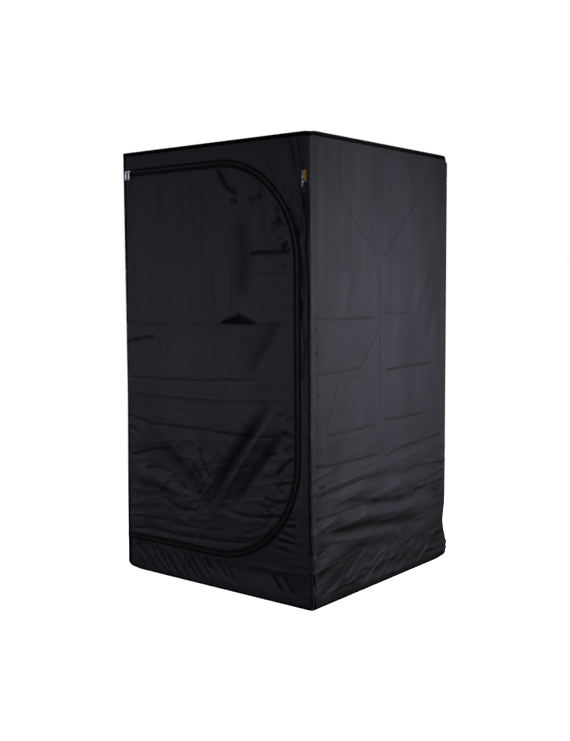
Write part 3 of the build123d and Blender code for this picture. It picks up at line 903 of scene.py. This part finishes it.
SHELL = (0.0240, 0.0226, 0.0305)
MATERIALS = {
    "shell": fabric("shell_fabric", SHELL, 0.48),
    "binding": fabric("binding_tape", (0.0025, 0.0025, 0.003), 0.7, 1.4 * MM, 0.16 * MM, 0.01, 0.08),
    "tape": fabric("zipper_tape", (0.004, 0.004, 0.0045), 0.66, 1.0 * MM, 0.12 * MM, 0.02, 0.15),
    "coil": plastic("zip_coil", (0.014, 0.014, 0.016), 0.42),
    "lining": foil("reflective_lining", (0.62, 0.63, 0.65)),
    "webbing": fabric("webbing", (0.010, 0.010, 0.011), 0.7, 1.8 * MM, 0.35 * MM, 0.08),
    "label": fabric("label_weave", (0.010, 0.010, 0.012), 0.5, 0.5 * MM, 0.05 * MM, 0.1),
    "label_orange": fabric("label_orange", (0.98, 0.52, 0.06), 0.5, 0.5 * MM, 0.05 * MM, 0.1),
    "label_white": fabric("label_white", (0.80, 0.80, 0.78), 0.5, 0.5 * MM, 0.05 * MM, 0.1),
    "cord": fabric("drawcord", (0.014, 0.014, 0.015), 0.65, 0.8 * MM, 0.3 * MM, 0.1),
    "tube": metal("frame_tube", (0.78, 0.78, 0.76), 0.38, 0.0, 0.5),
    "frame_plastic": plastic("frame_plastic", (0.02, 0.02, 0.02), 0.5),
    "lock_plastic": plastic("lock_plastic", (0.015, 0.015, 0.015), 0.38),
    "nickel": metal("nickel", (0.42, 0.42, 0.40), 0.28),
    "spring": metal("spring_steel", (0.6, 0.6, 0.6), 0.3),
}


def dress_cad_nodes():
    """Gives the CAD parts that stay on show their finished materials."""
    for name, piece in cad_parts.items():
        if name.startswith(("post_", "rail_")) or name in ("hanging_bar_front", "hanging_bar_rear"):
            finish = "tube"
        elif name.startswith("connector_") or name.endswith("_hooks"):
            finish = "frame_plastic"
        elif name.endswith(("_barrel", "_button")):
            finish = "lock_plastic"
        elif name.startswith(("zipper_slider", "zipper_pull")):
            finish = "nickel"
        else:
            continue
        for slot in piece.material_slots:
            slot.material = MATERIALS[finish]


# Stage ------------------------------------------------------------------------------------------

VIEW_POINT = (2.447, -3.086, 1.098)
VIEW_TURN = (4.85, 38.65, -0.32)  # down, to the left and rolled, in degrees
VIEW_LENS = 48.73
FLOOR_REACH = 40.0
FLOOR_GLOW = 0.99


def add_camera():
    data = bpy.data.cameras.new("camera")
    data.lens, data.sensor_width = VIEW_LENS, 36.0
    camera = bpy.data.objects.new("camera", data)
    down, left, roll = (math.radians(a) for a in VIEW_TURN)
    turn = Euler((math.pi / 2 - down, 0, left)).to_matrix() @ Matrix.Rotation(roll, 3, "Z")
    camera.matrix_world = Matrix.Translation(VIEW_POINT) @ turn.to_4x4()
    bpy.context.scene.collection.objects.link(camera)
    bpy.context.scene.camera = camera


def add_lamp(name, place, target, size, power, spread, tint=(1.0, 1.0, 1.0)):
    data = bpy.data.lights.new(name, "AREA")
    data.shape, data.size, data.size_y = "RECTANGLE", size[0], size[1]
    data.energy, data.spread, data.color = power, math.radians(spread), tint
    lamp = bpy.data.objects.new(name, data)
    lamp.location = place
    lamp.rotation_euler = (Vector(target) - Vector(place)).to_track_quat("-Z", "Y").to_euler()
    bpy.context.scene.collection.objects.link(lamp)


def add_world():
    """White behind the object, and softer light that comes mostly from above."""
    world = bpy.data.worlds.new("studio")
    world.use_nodes = True
    tree = world.node_tree
    tree.nodes.clear()
    split = add_node(tree, "ShaderNodeSeparateXYZ")
    tree.links.new(add_node(tree, "ShaderNodeTexCoord").outputs["Generated"], split.inputs[0])
    ramp = add_node(tree, "ShaderNodeValToRGB")
    low, high = ramp.color_ramp.elements
    low.position, low.color = 0.30, (0.10, 0.10, 0.12, 1)
    high.position, high.color = 0.75, (0.72, 0.72, 0.75, 1)
    height = math_node(tree, "MULTIPLY_ADD", split.outputs[2], 0.5)
    height.node.inputs[2].default_value = 0.5
    tree.links.new(height, ramp.inputs[0])
    seen = add_node(tree, "ShaderNodeBackground", Color=(1, 1, 1, 1), Strength=1.0)
    lit = add_node(tree, "ShaderNodeBackground", Strength=0.03)
    tree.links.new(ramp.outputs[0], lit.inputs["Color"])
    mix = add_node(tree, "ShaderNodeMixShader")
    tree.links.new(add_node(tree, "ShaderNodeLightPath").outputs["Is Camera Ray"], mix.inputs[0])
    tree.links.new(lit.outputs[0], mix.inputs[1])
    tree.links.new(seen.outputs[0], mix.inputs[2])
    tree.links.new(mix.outputs[0], add_node(tree, "ShaderNodeOutputWorld").inputs[0])
    bpy.context.scene.world = world


def add_floor():
    """A wide flat floor that glows white."""
    material, _, shader = principled("floor_paper", (0.93, 0.93, 0.93), 0.9)
    shader.inputs["Emission Color"].default_value = (1, 1, 1, 1)
    shader.inputs["Emission Strength"].default_value = FLOOR_GLOW
    corners = [(x * FLOOR_REACH, y * FLOOR_REACH, -0.5 * MM) for x, y in ((-1, -1), (1, -1), (1, 1), (-1, 1))]
    floor = new_mesh("floor", corners, [(0, 1, 2, 3)], [material], smooth=False)
    floor.visible_diffuse = False
    floor.visible_glossy = False


def add_stage():
    add_camera()
    add_world()
    add_floor()
    add_lamp("side_softbox", (3.6, 0.5, 1.0), (0.45, 0.0, 0.90), (1.2, 0.8), 6.2, 42)
    add_lamp("side_key", (2.6, -0.5, 3.4), (0.45, 0.0, 0.78), (0.5, 0.5), 6.0, 34)
    add_lamp("front_softbox", (-1.9, -3.7, 0.7), (-0.1, -0.45, 0.5), (1.2, 0.8), 4.2, 80, (0.97, 0.95, 1.0))
    add_lamp("front_key", (-3.0, -2.6, 1.7), (-0.1, -0.45, 0.35), (0.9, 0.9), 1.5, 60, (0.74, 0.66, 1.0))
    add_lamp("back_softbox", (-0.75, 4.2, 1.5), (-0.1, 0.45, 0.85), (1.2, 1.2), 14.0, 50)
    add_lamp("left_softbox", (-4.2, 0.25, 1.5), (-0.45, 0.05, 0.85), (1.2, 1.2), 14.0, 50)
    add_lamp("top_softbox", (0.0, 0.0, 4.2), (0.0, 0.0, HEIGHT), (0.8, 0.8), 5.0, 50)
    bpy.context.scene.view_settings.view_transform = "Standard"


# The cover's cloth ------------------------------------------------------------------------------

WALL_FLAT = (2 * HALF, HEIGHT)
PANEL_AREA = 0.44
DOOR_AREA = 1.117
SLEEVE_LENGTH = 0.17
PORT_RADIUS = 0.0762
PORT_HOLE_RADIUS = 0.076
STRAP_LENGTH = 0.190
ROOF_SAG = 2.6  # in millimetres, at the middle


def door_grid(step):
    low_z, high_z = ZIP_BOTTOM - 2 * step, ZIP_TOP + 2 * step
    u, z, faces = wall_grid(step, HINGE_X, ZIP_RIGHT + 2 * step, low_z, high_z)
    return cut_grid(u, z, faces, lambda a, b: zip_distance(a, b) + ZIP_GAP)


def panel_grid(step):
    u, z, faces = wall_grid(step)
    return cut_grid(u, z, faces, lambda a, b: ZIP_GAP - zip_distance(a, b))


def port_gap(u, z):
    """Distance into either of the back wall's round holes, negative on the cloth."""
    gaps = []
    for name in ("upper", "lower"):
        low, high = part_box(f"port_{name}_sleeve")
        middle = (low + high) / 2
        gaps.append(PORT_HOLE_RADIUS - np.hypot(u + middle.x, z - middle.z))
    return np.maximum(*gaps)


def door_shape(x, z):
    return DOOR_OUT + front_wave(x, z) + front_cloth(x, z)


def panel_shape(x, z):
    return FRAME_OUT + front_wave(x, z) + front_cloth(x, z)


def make_front_sheet(name, shape, grid, node, flat, area, body):
    """The door or the panel round it: an outer cloth and a lining behind it."""
    u, z, faces = grid(FINE_STEP)
    shade = front_shade(u, z)
    cloth = cloth_piece(f"{name}_cloth", "front", (u, z, faces), shape(u, z), MATERIALS["shell"], shade)
    sheet_piece(cloth, "shell_fabric", node, flat, body, area)
    u, z, faces = grid(LINING_STEP)
    out = behind(shape, u, z) - lining_gap(np.abs(zip_distance(u, z)))
    lining = cloth_piece(f"{name}_lining", "front", (u, z, faces[:, ::-1]), out, MATERIALS["lining"])
    sheet_piece(lining, "reflective_lining", None, flat, body, area)


def make_plain_wall(wall, step, seed, likeness, mirror=1):
    """The back or a side wall, the back with its two round holes."""

    def shape(u, z):
        out = side_cloth(mirror * u, z, seed, likeness) - 0.2 * MM
        return out * smoothstep(0, 0.03, -port_gap(u, z)) if wall == "back" else out

    for part, size, slot, material in (("cloth", step, "shell_fabric", "shell"),
                                       ("lining", LINING_STEP, "reflective_lining", "lining")):
        u, z, faces = wall_grid(size)
        if wall == "back":
            u, z, faces = cut_grid(u, z, faces, port_gap)
        if part == "lining":
            out, faces, shade = behind(shape, u, z) - lining_gap(HALF - np.abs(u)), faces[:, ::-1], None
        else:
            out, shade = shape(u, z), side_shade(mirror * u, z, seed, likeness)
        piece = cloth_piece(f"{wall}_panel_{part}", wall, (u, z, faces), out, MATERIALS[material], shade)
        node = f"{wall}_panel" if part == "cloth" else None
        sheet_piece(piece, slot, node, WALL_FLAT, rests_on=["rail_top_left", "rail_top_right"])


def make_level_sheet(name, node, height, sag, seed, material, slot, looks_up=True, **hold_words):
    """The roof or the floor of the cover, or the roof's lining."""
    u, v, faces = wall_grid(ROUGH_STEP, low_z=-HALF, high_z=HALF)
    hold = smoothstep(HALF, HALF - 0.06, np.abs(u)) * smoothstep(HALF, HALF - 0.06, np.abs(v))
    a, b = turned(u, v, 40, 0.05, 0.25)
    relief = 1.5 * crumple(a, b, seed) + 1.2 * noise(u / 0.12, v / 0.10, seed + 1)
    relief += 0.8 * crumple(u / 0.04, v / 0.05, seed + 2)
    z = height + MM * hold * relief * (abs(sag) / 8) - sag * MM * hold
    z = np.minimum(z, HEIGHT)
    points = envelope(round_corners(np.stack([u, v, np.maximum(z, 0)], 1)))
    piece = new_mesh(name, points, faces if looks_up else faces[:, ::-1], [MATERIALS[material]])
    hold_words = hold_words or {"rests_on": ["rail_top_front", "rail_top_rear"]}
    sheet_piece(piece, slot, node, (2 * HALF, 2 * HALF), **hold_words)


# Seams, bindings and the zip ----------------------------------------------------------------------


def swept(name, rings, close_path, material, close_ring=True):
    """A mesh through a row of equal rings of points."""
    rings = np.asarray(rings, float)
    count, size = rings.shape[:2]
    faces = grid_faces(count, size, close_path, close_ring)
    return new_mesh(name, rings.reshape(-1, 3), faces, [material])


def edge_loop(step, corner_radius):
    """Plan points round the cover with rounded corners, and their outward directions."""
    straight = HALF - corner_radius
    points, normals = [], []
    for k, (sx, sy) in enumerate([(1, -1), (1, 1), (-1, 1), (-1, -1)]):
        for turn in np.linspace(0, math.pi / 2, 9):
            angle = -math.pi / 2 + k * math.pi / 2 + turn
            normal = np.array([math.cos(angle), math.sin(angle)])
            points.append(np.array([sx, sy]) * straight + corner_radius * normal)
            normals.append(normal)
        along = np.array([(0, 1), (-1, 0), (0, -1), (1, 0)][k], float)
        for s in np.linspace(-straight, straight, round(2 * straight / step))[1:-1]:
            points.append(normals[-1] * HALF + along * s)
            normals.append(normals[-1])
    return np.array(points), np.array(normals)


def tape_section(reach_down, reach_in, round_over, thickness):
    """A folded tape's outline over an edge: (outwards, upwards) from the edge, going round it."""
    turns = np.linspace(0, math.pi / 2, 6)

    def arc(radius):
        return [(radius * math.cos(t) - round_over, radius * math.sin(t) - round_over) for t in turns]

    outer = [(0.0, -reach_down), *arc(round_over), (-reach_in, 0.0)]
    inner = [(-reach_in, -thickness), *arc(round_over - thickness)[::-1], (-thickness, -reach_down)]
    return np.array(outer + inner)


def loop_binding(name, node, level, flip, section, seed):
    """A binding round the roof, or round the floor when flip is -1."""
    plan, normals = edge_loop(8 * MM, CORNER_RADIUS)
    rings = []
    for k, (point, normal) in enumerate(zip(plan, normals)):
        out = (0.6 + 0.5 * noise(k * 0.35, 0.5, seed)) * MM
        rings.append([(*(point + normal * (o + out)), level + flip * (up + 0.2 * MM)) for o, up in section])
    rings = np.array(rings)
    rings = envelope(rings.reshape(-1, 3)).reshape(rings.shape)
    rings[:, :, 2] = np.clip(rings[:, :, 2], 0, HEIGHT + 1.5 * MM)
    attach(swept(name, rings, True, MATERIALS["binding"]), "binding_tape", node)


def around_corner(corner, offset, z, lift):
    """A point on a rounded upright edge: offset round it, negative on its front or back wall."""
    sx, sy = CORNERS[corner]
    half_arc = CORNER_RADIUS * math.pi / 4
    if abs(offset) < half_arc:
        turn = math.pi / 4 + offset / CORNER_RADIUS
        na, nb = math.sin(turn), math.cos(turn)
        a, b = -CORNER_RADIUS * (1 - na), -CORNER_RADIUS * (1 - nb)
    else:
        na, nb = (0.0, 1.0) if offset < 0 else (1.0, 0.0)
        run = -CORNER_RADIUS - (abs(offset) - half_arc)
        a, b = (run, 0.0) if offset < 0 else (0.0, run)
    return (sx * (HALF + a + na * lift), sy * (HALF + b + nb * lift), z)


def seam_offset(corner, z):
    """The seam runs up beside the edge. At one corner it winds round the post near the floor."""
    offset = (-12.5 + 0.6 * math.sin(9 * z)) * MM
    if corner == "front_right":
        offset += 4 * MM * float(smoothstep(1.2, 1.0, z)) + 24 * MM * float(smoothstep(0.34, 0.03, z))
    return offset


def corner_strip(name, corner, profile, centre, high, material):
    """A narrow strip up a corner, from a profile of offsets and heights in millimetres."""
    rings = []
    for z in np.arange(1.5 * MM, high, 5 * MM):
        middle, rise = centre(z), 2.2 * MM * float(smoothstep(0.22, 0.08, z))
        rings.append([around_corner(corner, middle + a * MM, z, b * MM + rise) for a, b in profile])
    rings = np.array(rings)
    rings = envelope(rings.reshape(-1, 3)).reshape(rings.shape)
    sx, sy = CORNERS[corner]
    if sx * sy > 0:
        rings = rings[:, ::-1]
    return attach(swept(name, rings, False, material), "binding_tape")


def corner_seam(corner):
    """The narrow dark seam up a corner and, at the front right corner, the piping that the cloth makes beside
    it low down.
    """
    profile = [(-2.3, -2.8), (-2.2, -0.3), (-1.4, 0.35), (-0.5, 0.25), (0.0, -0.1), (0.5, 0.25), (1.4, 0.35),
               (2.2, -0.3), (2.3, -2.8)]
    seam = corner_strip(f"corner_seam_{corner}", corner, profile, lambda z: seam_offset(corner, z),
                        HEIGHT - 9 * MM, MATERIALS["binding"])
    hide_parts(f"corner_binding_{corner}")
    if corner == "front_right":
        piping = [(-1.6, -1.5), (-1.5, 0.2), (-0.8, 1.0), (0.0, 1.3), (0.8, 1.0), (1.5, 0.2), (1.6, -1.5)]
        corner_strip("corner_piping", corner, piping, lambda z: 4.0 * MM, 0.20, MATERIALS["shell"])


def zip_tape(name, node, side, out, body, width):
    """One of the zip's tapes: a woven band with a rolled edge beside the coil."""
    profile = [(0.6, -0.8), (0.6, 0.2), (1.3, 1.0), (2.6, 1.25), (3.8, 0.8), (4.6, 0.35)]
    rest = ((0.47, 0.25), (0.60, 0.35), (0.82, 0.2), (0.95, 0.35), (1.0, 0.1), (1.01, -0.8))
    profile += [(share * width / MM, height) for share, height in rest]
    points, normals, s = zip_line(7 * MM)
    rings = []
    for offset, height in profile:
        at = points + side * normals * (offset * MM)
        uneven = 0.25 * MM * noise(s / 0.03, offset + 0 * s, 81)
        lift = out + height * MM + front_wave(at[:, 0], at[:, 1]) + uneven
        rings.append(wall_points("front", at[:, 0], at[:, 1], lift))
    rings = np.stack(rings, 1)
    if side > 0:
        rings = rings[:, ::-1]
    attach(swept(name, rings, False, MATERIALS["tape"]), "zipper_tape", node, body)


def tooth_points(middle, along, outward, out, side):
    """One turn of the coil, reaching over the zip's line from its own tape."""
    half_width, reach, root, height = 0.55 * MM, 1.5 * MM, 1.7 * MM, 1.3 * MM
    corners = []
    for a, b, h in ((-1, root, 0.1), (1, root, 0.1), (1, -reach * 0.5, 0.2), (-1, -reach * 0.5, 0.2)):
        corners.append((middle + along * a * half_width + outward * side * b, out + h * MM))
    for a, b, h in ((-1, root, 0.9), (1, root, 0.9), (0.8, -reach * 0.55, 1.0), (-0.8, -reach * 0.55, 1.0)):
        corners.append((middle + along * a * half_width + outward * side * b, out + h * height))
    return corners


def zip_coil(name, side, out, body, shift):
    """A row of coil turns along the zip, half a turn out of step with the other tape's."""
    points, normals, _ = zip_line(COIL_PITCH / 2)
    vertices, faces = [], []
    box = [(0, 3, 2, 1), (4, 5, 6, 7), (0, 1, 5, 4), (1, 2, 6, 5), (2, 3, 7, 6), (3, 0, 4, 7)]
    for k in range(2 + shift, len(points) - 2, 2):
        along = np.array([normals[k][1], -normals[k][0]])
        start = len(vertices)
        vertices += tooth_points(points[k], along, normals[k], out, side)
        faces += [tuple(start + i for i in face) for face in box]
    at = np.array([v[0] for v in vertices])
    lift = np.array([v[1] for v in vertices]) + front_wave(at[:, 0], at[:, 1])
    points = wall_points("front", at[:, 0], at[:, 1], lift)
    piece = new_mesh(name, points, faces, [MATERIALS["coil"]], smooth=False)
    attach(piece, "zipper_tape", body=body)


def make_zip():
    zip_tape("zip_tape_door", "zipper_tape_door", -1, DOOR_TAPE_OUT - 0.9 * MM, "door", TAPE_WIDTH)
    zip_tape("zip_tape_frame", "zipper_tape_frame", 1, FRAME_TAPE_OUT - 1.2 * MM, "tent", OUTER_TAPE_WIDTH)
    zip_coil("zip_coil_door", -1, DOOR_TAPE_OUT - 0.9 * MM, "door", 0)
    zip_coil("zip_coil_frame", 1, DOOR_TAPE_OUT - 0.9 * MM, "tent", 1)


# Sewn-on pieces -----------------------------------------------------------------------------------


def flat_bar(name, low, high, out, thickness, material, bend=None, wall="front", step=3 * MM):
    """A thin closed strip of cloth on a wall, with its edges turned in and an optional bend."""
    columns = max(3, round((high[0] - low[0]) / step) + 1)
    rows = max(3, round((high[1] - low[1]) / step) + 1)
    levels, places = np.linspace(low[1], high[1], rows), np.linspace(low[0], high[0], columns)
    z, u = np.meshgrid(levels, places, indexing="ij")
    edge = np.minimum(np.minimum(u - low[0], high[0] - u), np.minimum(z - low[1], high[1] - z))
    lift = out + (bend(u, z) if bend else 0)
    top = lift + thickness * (0.55 + 0.45 * smoothstep(0, 1.2 * MM, edge))
    points = [wall_points(wall, u.ravel(), z.ravel(), (top + 0 * u).ravel())]
    points.append(wall_points(wall, u.ravel(), z.ravel(), (lift + 0 * u).ravel()))
    count = rows * columns
    faces = grid_faces(rows, columns)
    rim = [k for k in range(columns - 1)] + [r * columns + columns - 1 for r in range(rows - 1)]
    rim += [count - 1 - k for k in range(columns - 1)] + [r * columns for r in range(rows - 1, 0, -1)]
    sides = [(a, a + count, b + count, b) for a, b in zip(rim, rim[1:] + rim[:1])]
    all_faces = [tuple(f) for f in faces] + [tuple(f[::-1] + count) for f in faces] + sides
    return new_mesh(name, np.vstack(points), all_faces, [material])


def make_label():
    """A small woven tag with a plain round spot and a few bars, which stand for its print."""
    low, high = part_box("label_tag")
    out = -high.y - HALF + 0.3 * MM

    def curl(u, z):
        hang = 1.6 * MM * smoothstep(high.z - 0.015, low.z, z) ** 2
        return hang + 1.5 * MM * smoothstep(low.x + 0.01, low.x, u)

    tag = flat_bar("label_cloth", (low.x, low.z), (high.x, high.z), out, 0.8 * MM, MATERIALS["label"], curl)
    attach(tag, "label_weave", "label_tag")
    spot = flat_disc("label_spot", (low.x + 25 * MM, high.z - 26 * MM), (12.5 * MM, 17 * MM), out + 0.9 * MM,
                     0.3 * MM, MATERIALS["label_orange"], curl)
    marks = [(8, high.z - (12 + 7.6 * k) * MM, 6.5, (6.0, 4.8)[k % 2]) for k in range(7)]
    marks += [(22, high.z - 41 * MM, 4, 8), (29, high.z - 45 * MM, 7, 5)]
    pieces = [spot]
    for k, (x0, top, width, height) in enumerate(marks):
        corner_low = (low.x + x0 * MM, top - height * MM)
        corner_high = (low.x + (x0 + width) * MM, top)
        pieces.append(flat_bar(f"label_mark_{k}", corner_low, corner_high, out + 0.9 * MM, 0.6 * MM,
                               MATERIALS["label_white"], curl, step=1.5 * MM))
    for piece in pieces:
        attach(piece, "label_weave")


def flat_disc(name, centre, radii, out, thickness, material, bend):
    """A thin oval patch on the front wall."""
    turns = full_turn(36)
    rings = []
    profile = ((1.0, 0.0), (1.0, 0.6), (0.9, 1.0), (0.7, 1.0), (0.5, 1.0), (0.3, 1.0), (0.02, 1.0))
    for share, height in profile:
        x, z = centre[0] + radii[0] * share * np.cos(turns), centre[1] + radii[1] * share * np.sin(turns)
        rings.append(wall_points("front", x, z, out + bend(x, z) + height * thickness))
    return swept(name, np.array(rings), False, material)


def make_straps():
    """Two webbing tie-backs that hang by their sewn tops on the left wall."""
    low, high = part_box("door_tieback_straps")
    for k, top in enumerate((high.z, low.z + STRAP_LENGTH)):

        def hang(_, z, top=top):
            drop = np.clip((top - z) / STRAP_LENGTH, 0, 1)
            return 5 * MM * drop**2 + 2 * MM * np.sin(drop * 9) * drop * (1 - drop) * 2

        corner_low, corner_high = (-high.y, top - STRAP_LENGTH), (-low.y, top)
        strap = flat_bar(f"tieback_strap_{k}", corner_low, corner_high, 0.6 * MM, 1.6 * MM,
                         MATERIALS["webbing"], hang, wall="left", step=4 * MM)
        attach(strap, "binding_tape", "door_tieback_straps" if k == 0 else None)


# Floor tray and ports -------------------------------------------------------------------------------


def make_tray():
    """A soft tray with standing walls that lean and wave a little."""
    half, wall = TRAY_HIGH.x, TRAY_HIGH.z
    plan, normals = edge_loop(10 * MM, 9 * MM)
    plan = plan * (half / HALF)
    k = np.arange(len(plan))
    rings = []
    levels = [(1.0, TRAY_HIGH.z), (1.0, 0.6 * wall), (1.0, 0.25 * wall), (0.995, 4 * MM), (0.985, 3 * MM)]
    levels += [(f, 3 * MM) for f in (0.97, 0.93, 0.85, 0.7, 0.5, 0.25, 0.001)]
    for share, z in levels:
        lean = -3.0 * MM * (z / wall) * (0.5 + 0.5 * noise(k * 0.11, 0.5, 91))
        low_wave = 0.8 * MM * noise(plan[:, 0] * share / 0.06, plan[:, 1] * share / 0.07, 92) * (share < 0.98)
        top_wave = -2.5 * MM * (0.5 + 0.5 * noise(k * 0.2, 0.5, 93)) * (z == TRAY_HIGH.z)
        at = plan * share + normals * lean[:, None]
        rings.append(np.column_stack([at, z + np.maximum(low_wave, -0.5 * MM) + top_wave]))
    tray = swept("floor_tray_cloth", rings, False, MATERIALS["lining"])
    side = 2 * half + 2 * wall
    sheet_piece(tray, "reflective_lining", "floor_tray", (side, side), held="laid", rests_on=["floor_sheet"])


def make_port(name):
    """A gathered sleeve with a flange sewn to the wall and a rolled hem."""
    low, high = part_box(f"port_{name}_sleeve")
    middle = (low + high) / 2
    hem = (high.x - low.x) / 2
    radius = PORT_RADIUS
    start, end = HALF + 0.3 * MM, high.y
    turns = full_turn(144)
    profile = [(start, 0.098, 0.2), (start + 0.8 * MM, 0.0975, 0.2), (start + 1.2 * MM, 0.090, 0.2),
               (start + 1.0 * MM, 0.082, 0.3), (start + 3 * MM, radius + 1.5 * MM, 0.6)]
    sleeve_end = end - 14 * MM
    for share in np.linspace(0.06, 0.94, 13):
        waist = radius - 1.0 * MM * math.sin(share * math.pi)
        profile.append((start + share * (sleeve_end - start), waist, 1.0))
    for turn in np.linspace(-math.pi * 0.5, math.pi * 0.5, 9):
        at = end - 7 * MM + 7 * MM * math.sin(turn)
        profile.append((at, radius + 1.0 * MM + (hem - radius - 2.0 * MM) * math.cos(turn), 0.9))
    profile += [(end - 2 * MM, radius - 1.5 * MM, 0.7), (end - 14 * MM, radius - 1.5 * MM, 0.8),
                (start + 4 * MM, radius - 1.8 * MM, 0.4), (start - 3 * MM, radius - 1.8 * MM, 0.0)]
    rings = []
    for y, r, loose in profile:
        share = (y - start) / (end - start)
        gather = 1.3 * crumple(turns * 36 / (2 * math.pi), share * 1.6 + 0 * turns, 95) * loose
        sag = 1.2 * np.sin(turns * 3 + 4 * share) * math.sin(share * math.pi) * loose
        radial = np.minimum(r + MM * (gather + sag) * min(1.0, share * 6 + 0.1), hem + 2 * MM)
        x, z = middle.x + radial * np.cos(turns), middle.z + radial * np.sin(turns)
        rings.append(np.column_stack([x, 0 * turns + y, z]))
    sleeve = swept(f"port_{name}_cloth", np.array(rings)[:, ::-1], False, MATERIALS["shell"])
    flat = (2 * math.pi * radius, SLEEVE_LENGTH)
    sheet_piece(sleeve, "shell_fabric", f"port_{name}_sleeve", flat, held="gathered",
                rests_on=["back_panel_cloth"])


def make_strands(name):
    """The drawcord's two ends, twisted round their core, and the knot that joins them."""
    low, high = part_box(f"port_{name}_drawcord")
    x, y, knot_z = (low.x + high.x) / 2, (low.y + high.y) / 2, low.z + 3.6 * MM
    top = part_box(f"port_{name}_sleeve")[0].z + 4 * MM
    turns, heights = full_turn(12), np.linspace(top, knot_z, 60)
    points, faces = [], []
    for offset in (-1.7 * MM, 1.7 * MM):
        faces.append(grid_faces(len(heights), len(turns), False, True) + sum(len(block) for block in points))
        rings = []
        for z in heights:
            braid = 1 + 0.10 * np.sin(6 * turns + z / (0.35 * MM)) * np.sin(6 * turns - z / (0.35 * MM))
            rings.append(np.column_stack([x + offset + 1.4 * MM * braid * np.cos(turns),
                                          y + 1.4 * MM * braid * np.sin(turns), 0 * turns + z]))
        points.append(np.array(rings).reshape(-1, 3))
    knot, knot_faces = knot_mesh((x, y, knot_z))
    faces.append(knot_faces + sum(len(block) for block in points))
    points.append(knot)
    faces = np.vstack(faces)[:, ::-1]
    cord = new_mesh(f"port_{name}_cord_ends", np.vstack(points), faces, [MATERIALS["cord"]])
    attach(cord, "drawcord", f"port_{name}_drawcord")


def make_spring(name):
    """A cord lock's coil spring."""
    low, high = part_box(f"cord_lock_{name}_spring")
    middle, wire, coils = (low + high) / 2, SPRING_WIRE, 5
    radius = (high.x - low.x) / 2 - wire
    share = np.linspace(0, 1, 24 * coils + 1)
    angle = 2 * math.pi * coils * share
    outward = np.column_stack([np.cos(angle), 0 * angle, np.sin(angle)])
    path = np.array((middle.x, 0, middle.z)) + radius * outward
    path[:, 1] = low.y + wire + (high.y - low.y - 2 * wire) * share
    turns = full_turn(8)[None, :, None]
    rings = path[:, None] + wire * (outward[:, None] * np.cos(turns) + np.array((0, 1, 0)) * np.sin(turns))
    spring = swept(f"cord_lock_{name}_coil", rings, False, MATERIALS["spring"])
    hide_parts(f"cord_lock_{name}_spring")
    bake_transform(spring)


def knot_mesh(centre):
    """An overhand knot: a thick tube along a trefoil."""
    t = full_turn(60)
    x, z = np.sin(t) + 2 * np.sin(2 * t), np.cos(t) - 2 * np.cos(2 * t)
    path = np.array(centre) + np.column_stack([x, -np.sin(3 * t) * 1.1, z]) * 0.75 * MM
    ahead = np.roll(path, -1, 0) - np.roll(path, 1, 0)
    ahead /= np.linalg.norm(ahead, axis=1)[:, None]
    side = np.cross(ahead, (0.2, 0.3, 0.9))
    side /= np.linalg.norm(side, axis=1)[:, None]
    up = np.cross(ahead, side)
    turns = full_turn(10)
    cosine, sine = np.cos(turns)[:, None], np.sin(turns)[:, None]
    rings = path[:, None] + 1.25 * MM * (side[:, None] * cosine + up[:, None] * sine)
    return rings.reshape(-1, 3), grid_faces(len(t), len(turns), True, True)


# Everything ---------------------------------------------------------------------------------------


def build():
    add_stage()
    dress_cad_nodes()
    door_flat = (DOOR_HIGH.x - DOOR_LOW.x, DOOR_HIGH.z - DOOR_LOW.z)
    make_front_sheet("door", door_shape, door_grid, "door_flap", door_flat, DOOR_AREA, "door")
    make_front_sheet("front_panel", panel_shape, panel_grid, "front_panel", WALL_FLAT, PANEL_AREA, "tent")
    make_plain_wall("right", FINE_STEP, 0, 1.0)
    make_plain_wall("left", ROUGH_STEP, 100, 0.8, mirror=-1)
    make_plain_wall("back", ROUGH_STEP, 200, 0.8)
    make_level_sheet("roof_sheet", "roof_panel", HEIGHT, ROOF_SAG, 301, "shell", "shell_fabric")
    make_level_sheet("roof_lining", None, HEIGHT - 1.2 * MM, ROOF_SAG, 301, "lining", "reflective_lining",
                     looks_up=False)
    make_level_sheet("floor_sheet", "floor_panel", 0.6 * MM, 0.5, 311, "shell", "shell_fabric", False,
                     held="laid", rests_on=())
    roof_tape = tape_section(14 * MM, 10 * MM, 4 * MM, 1.2 * MM)
    floor_tape = tape_section(9 * MM, 10 * MM, 3 * MM, 1.0 * MM)
    loop_binding("roof_edge_tape", "roof_binding", HEIGHT, 1, roof_tape, 321)
    loop_binding("floor_edge_tape", "floor_binding", 0, -1, floor_tape, 331)
    for corner in CORNERS:
        corner_seam(corner)
    make_zip()
    make_label()
    make_straps()
    make_tray()
    for name in ("upper", "lower"):
        make_port(name)
        make_strands(name)
        make_spring(name)


build()
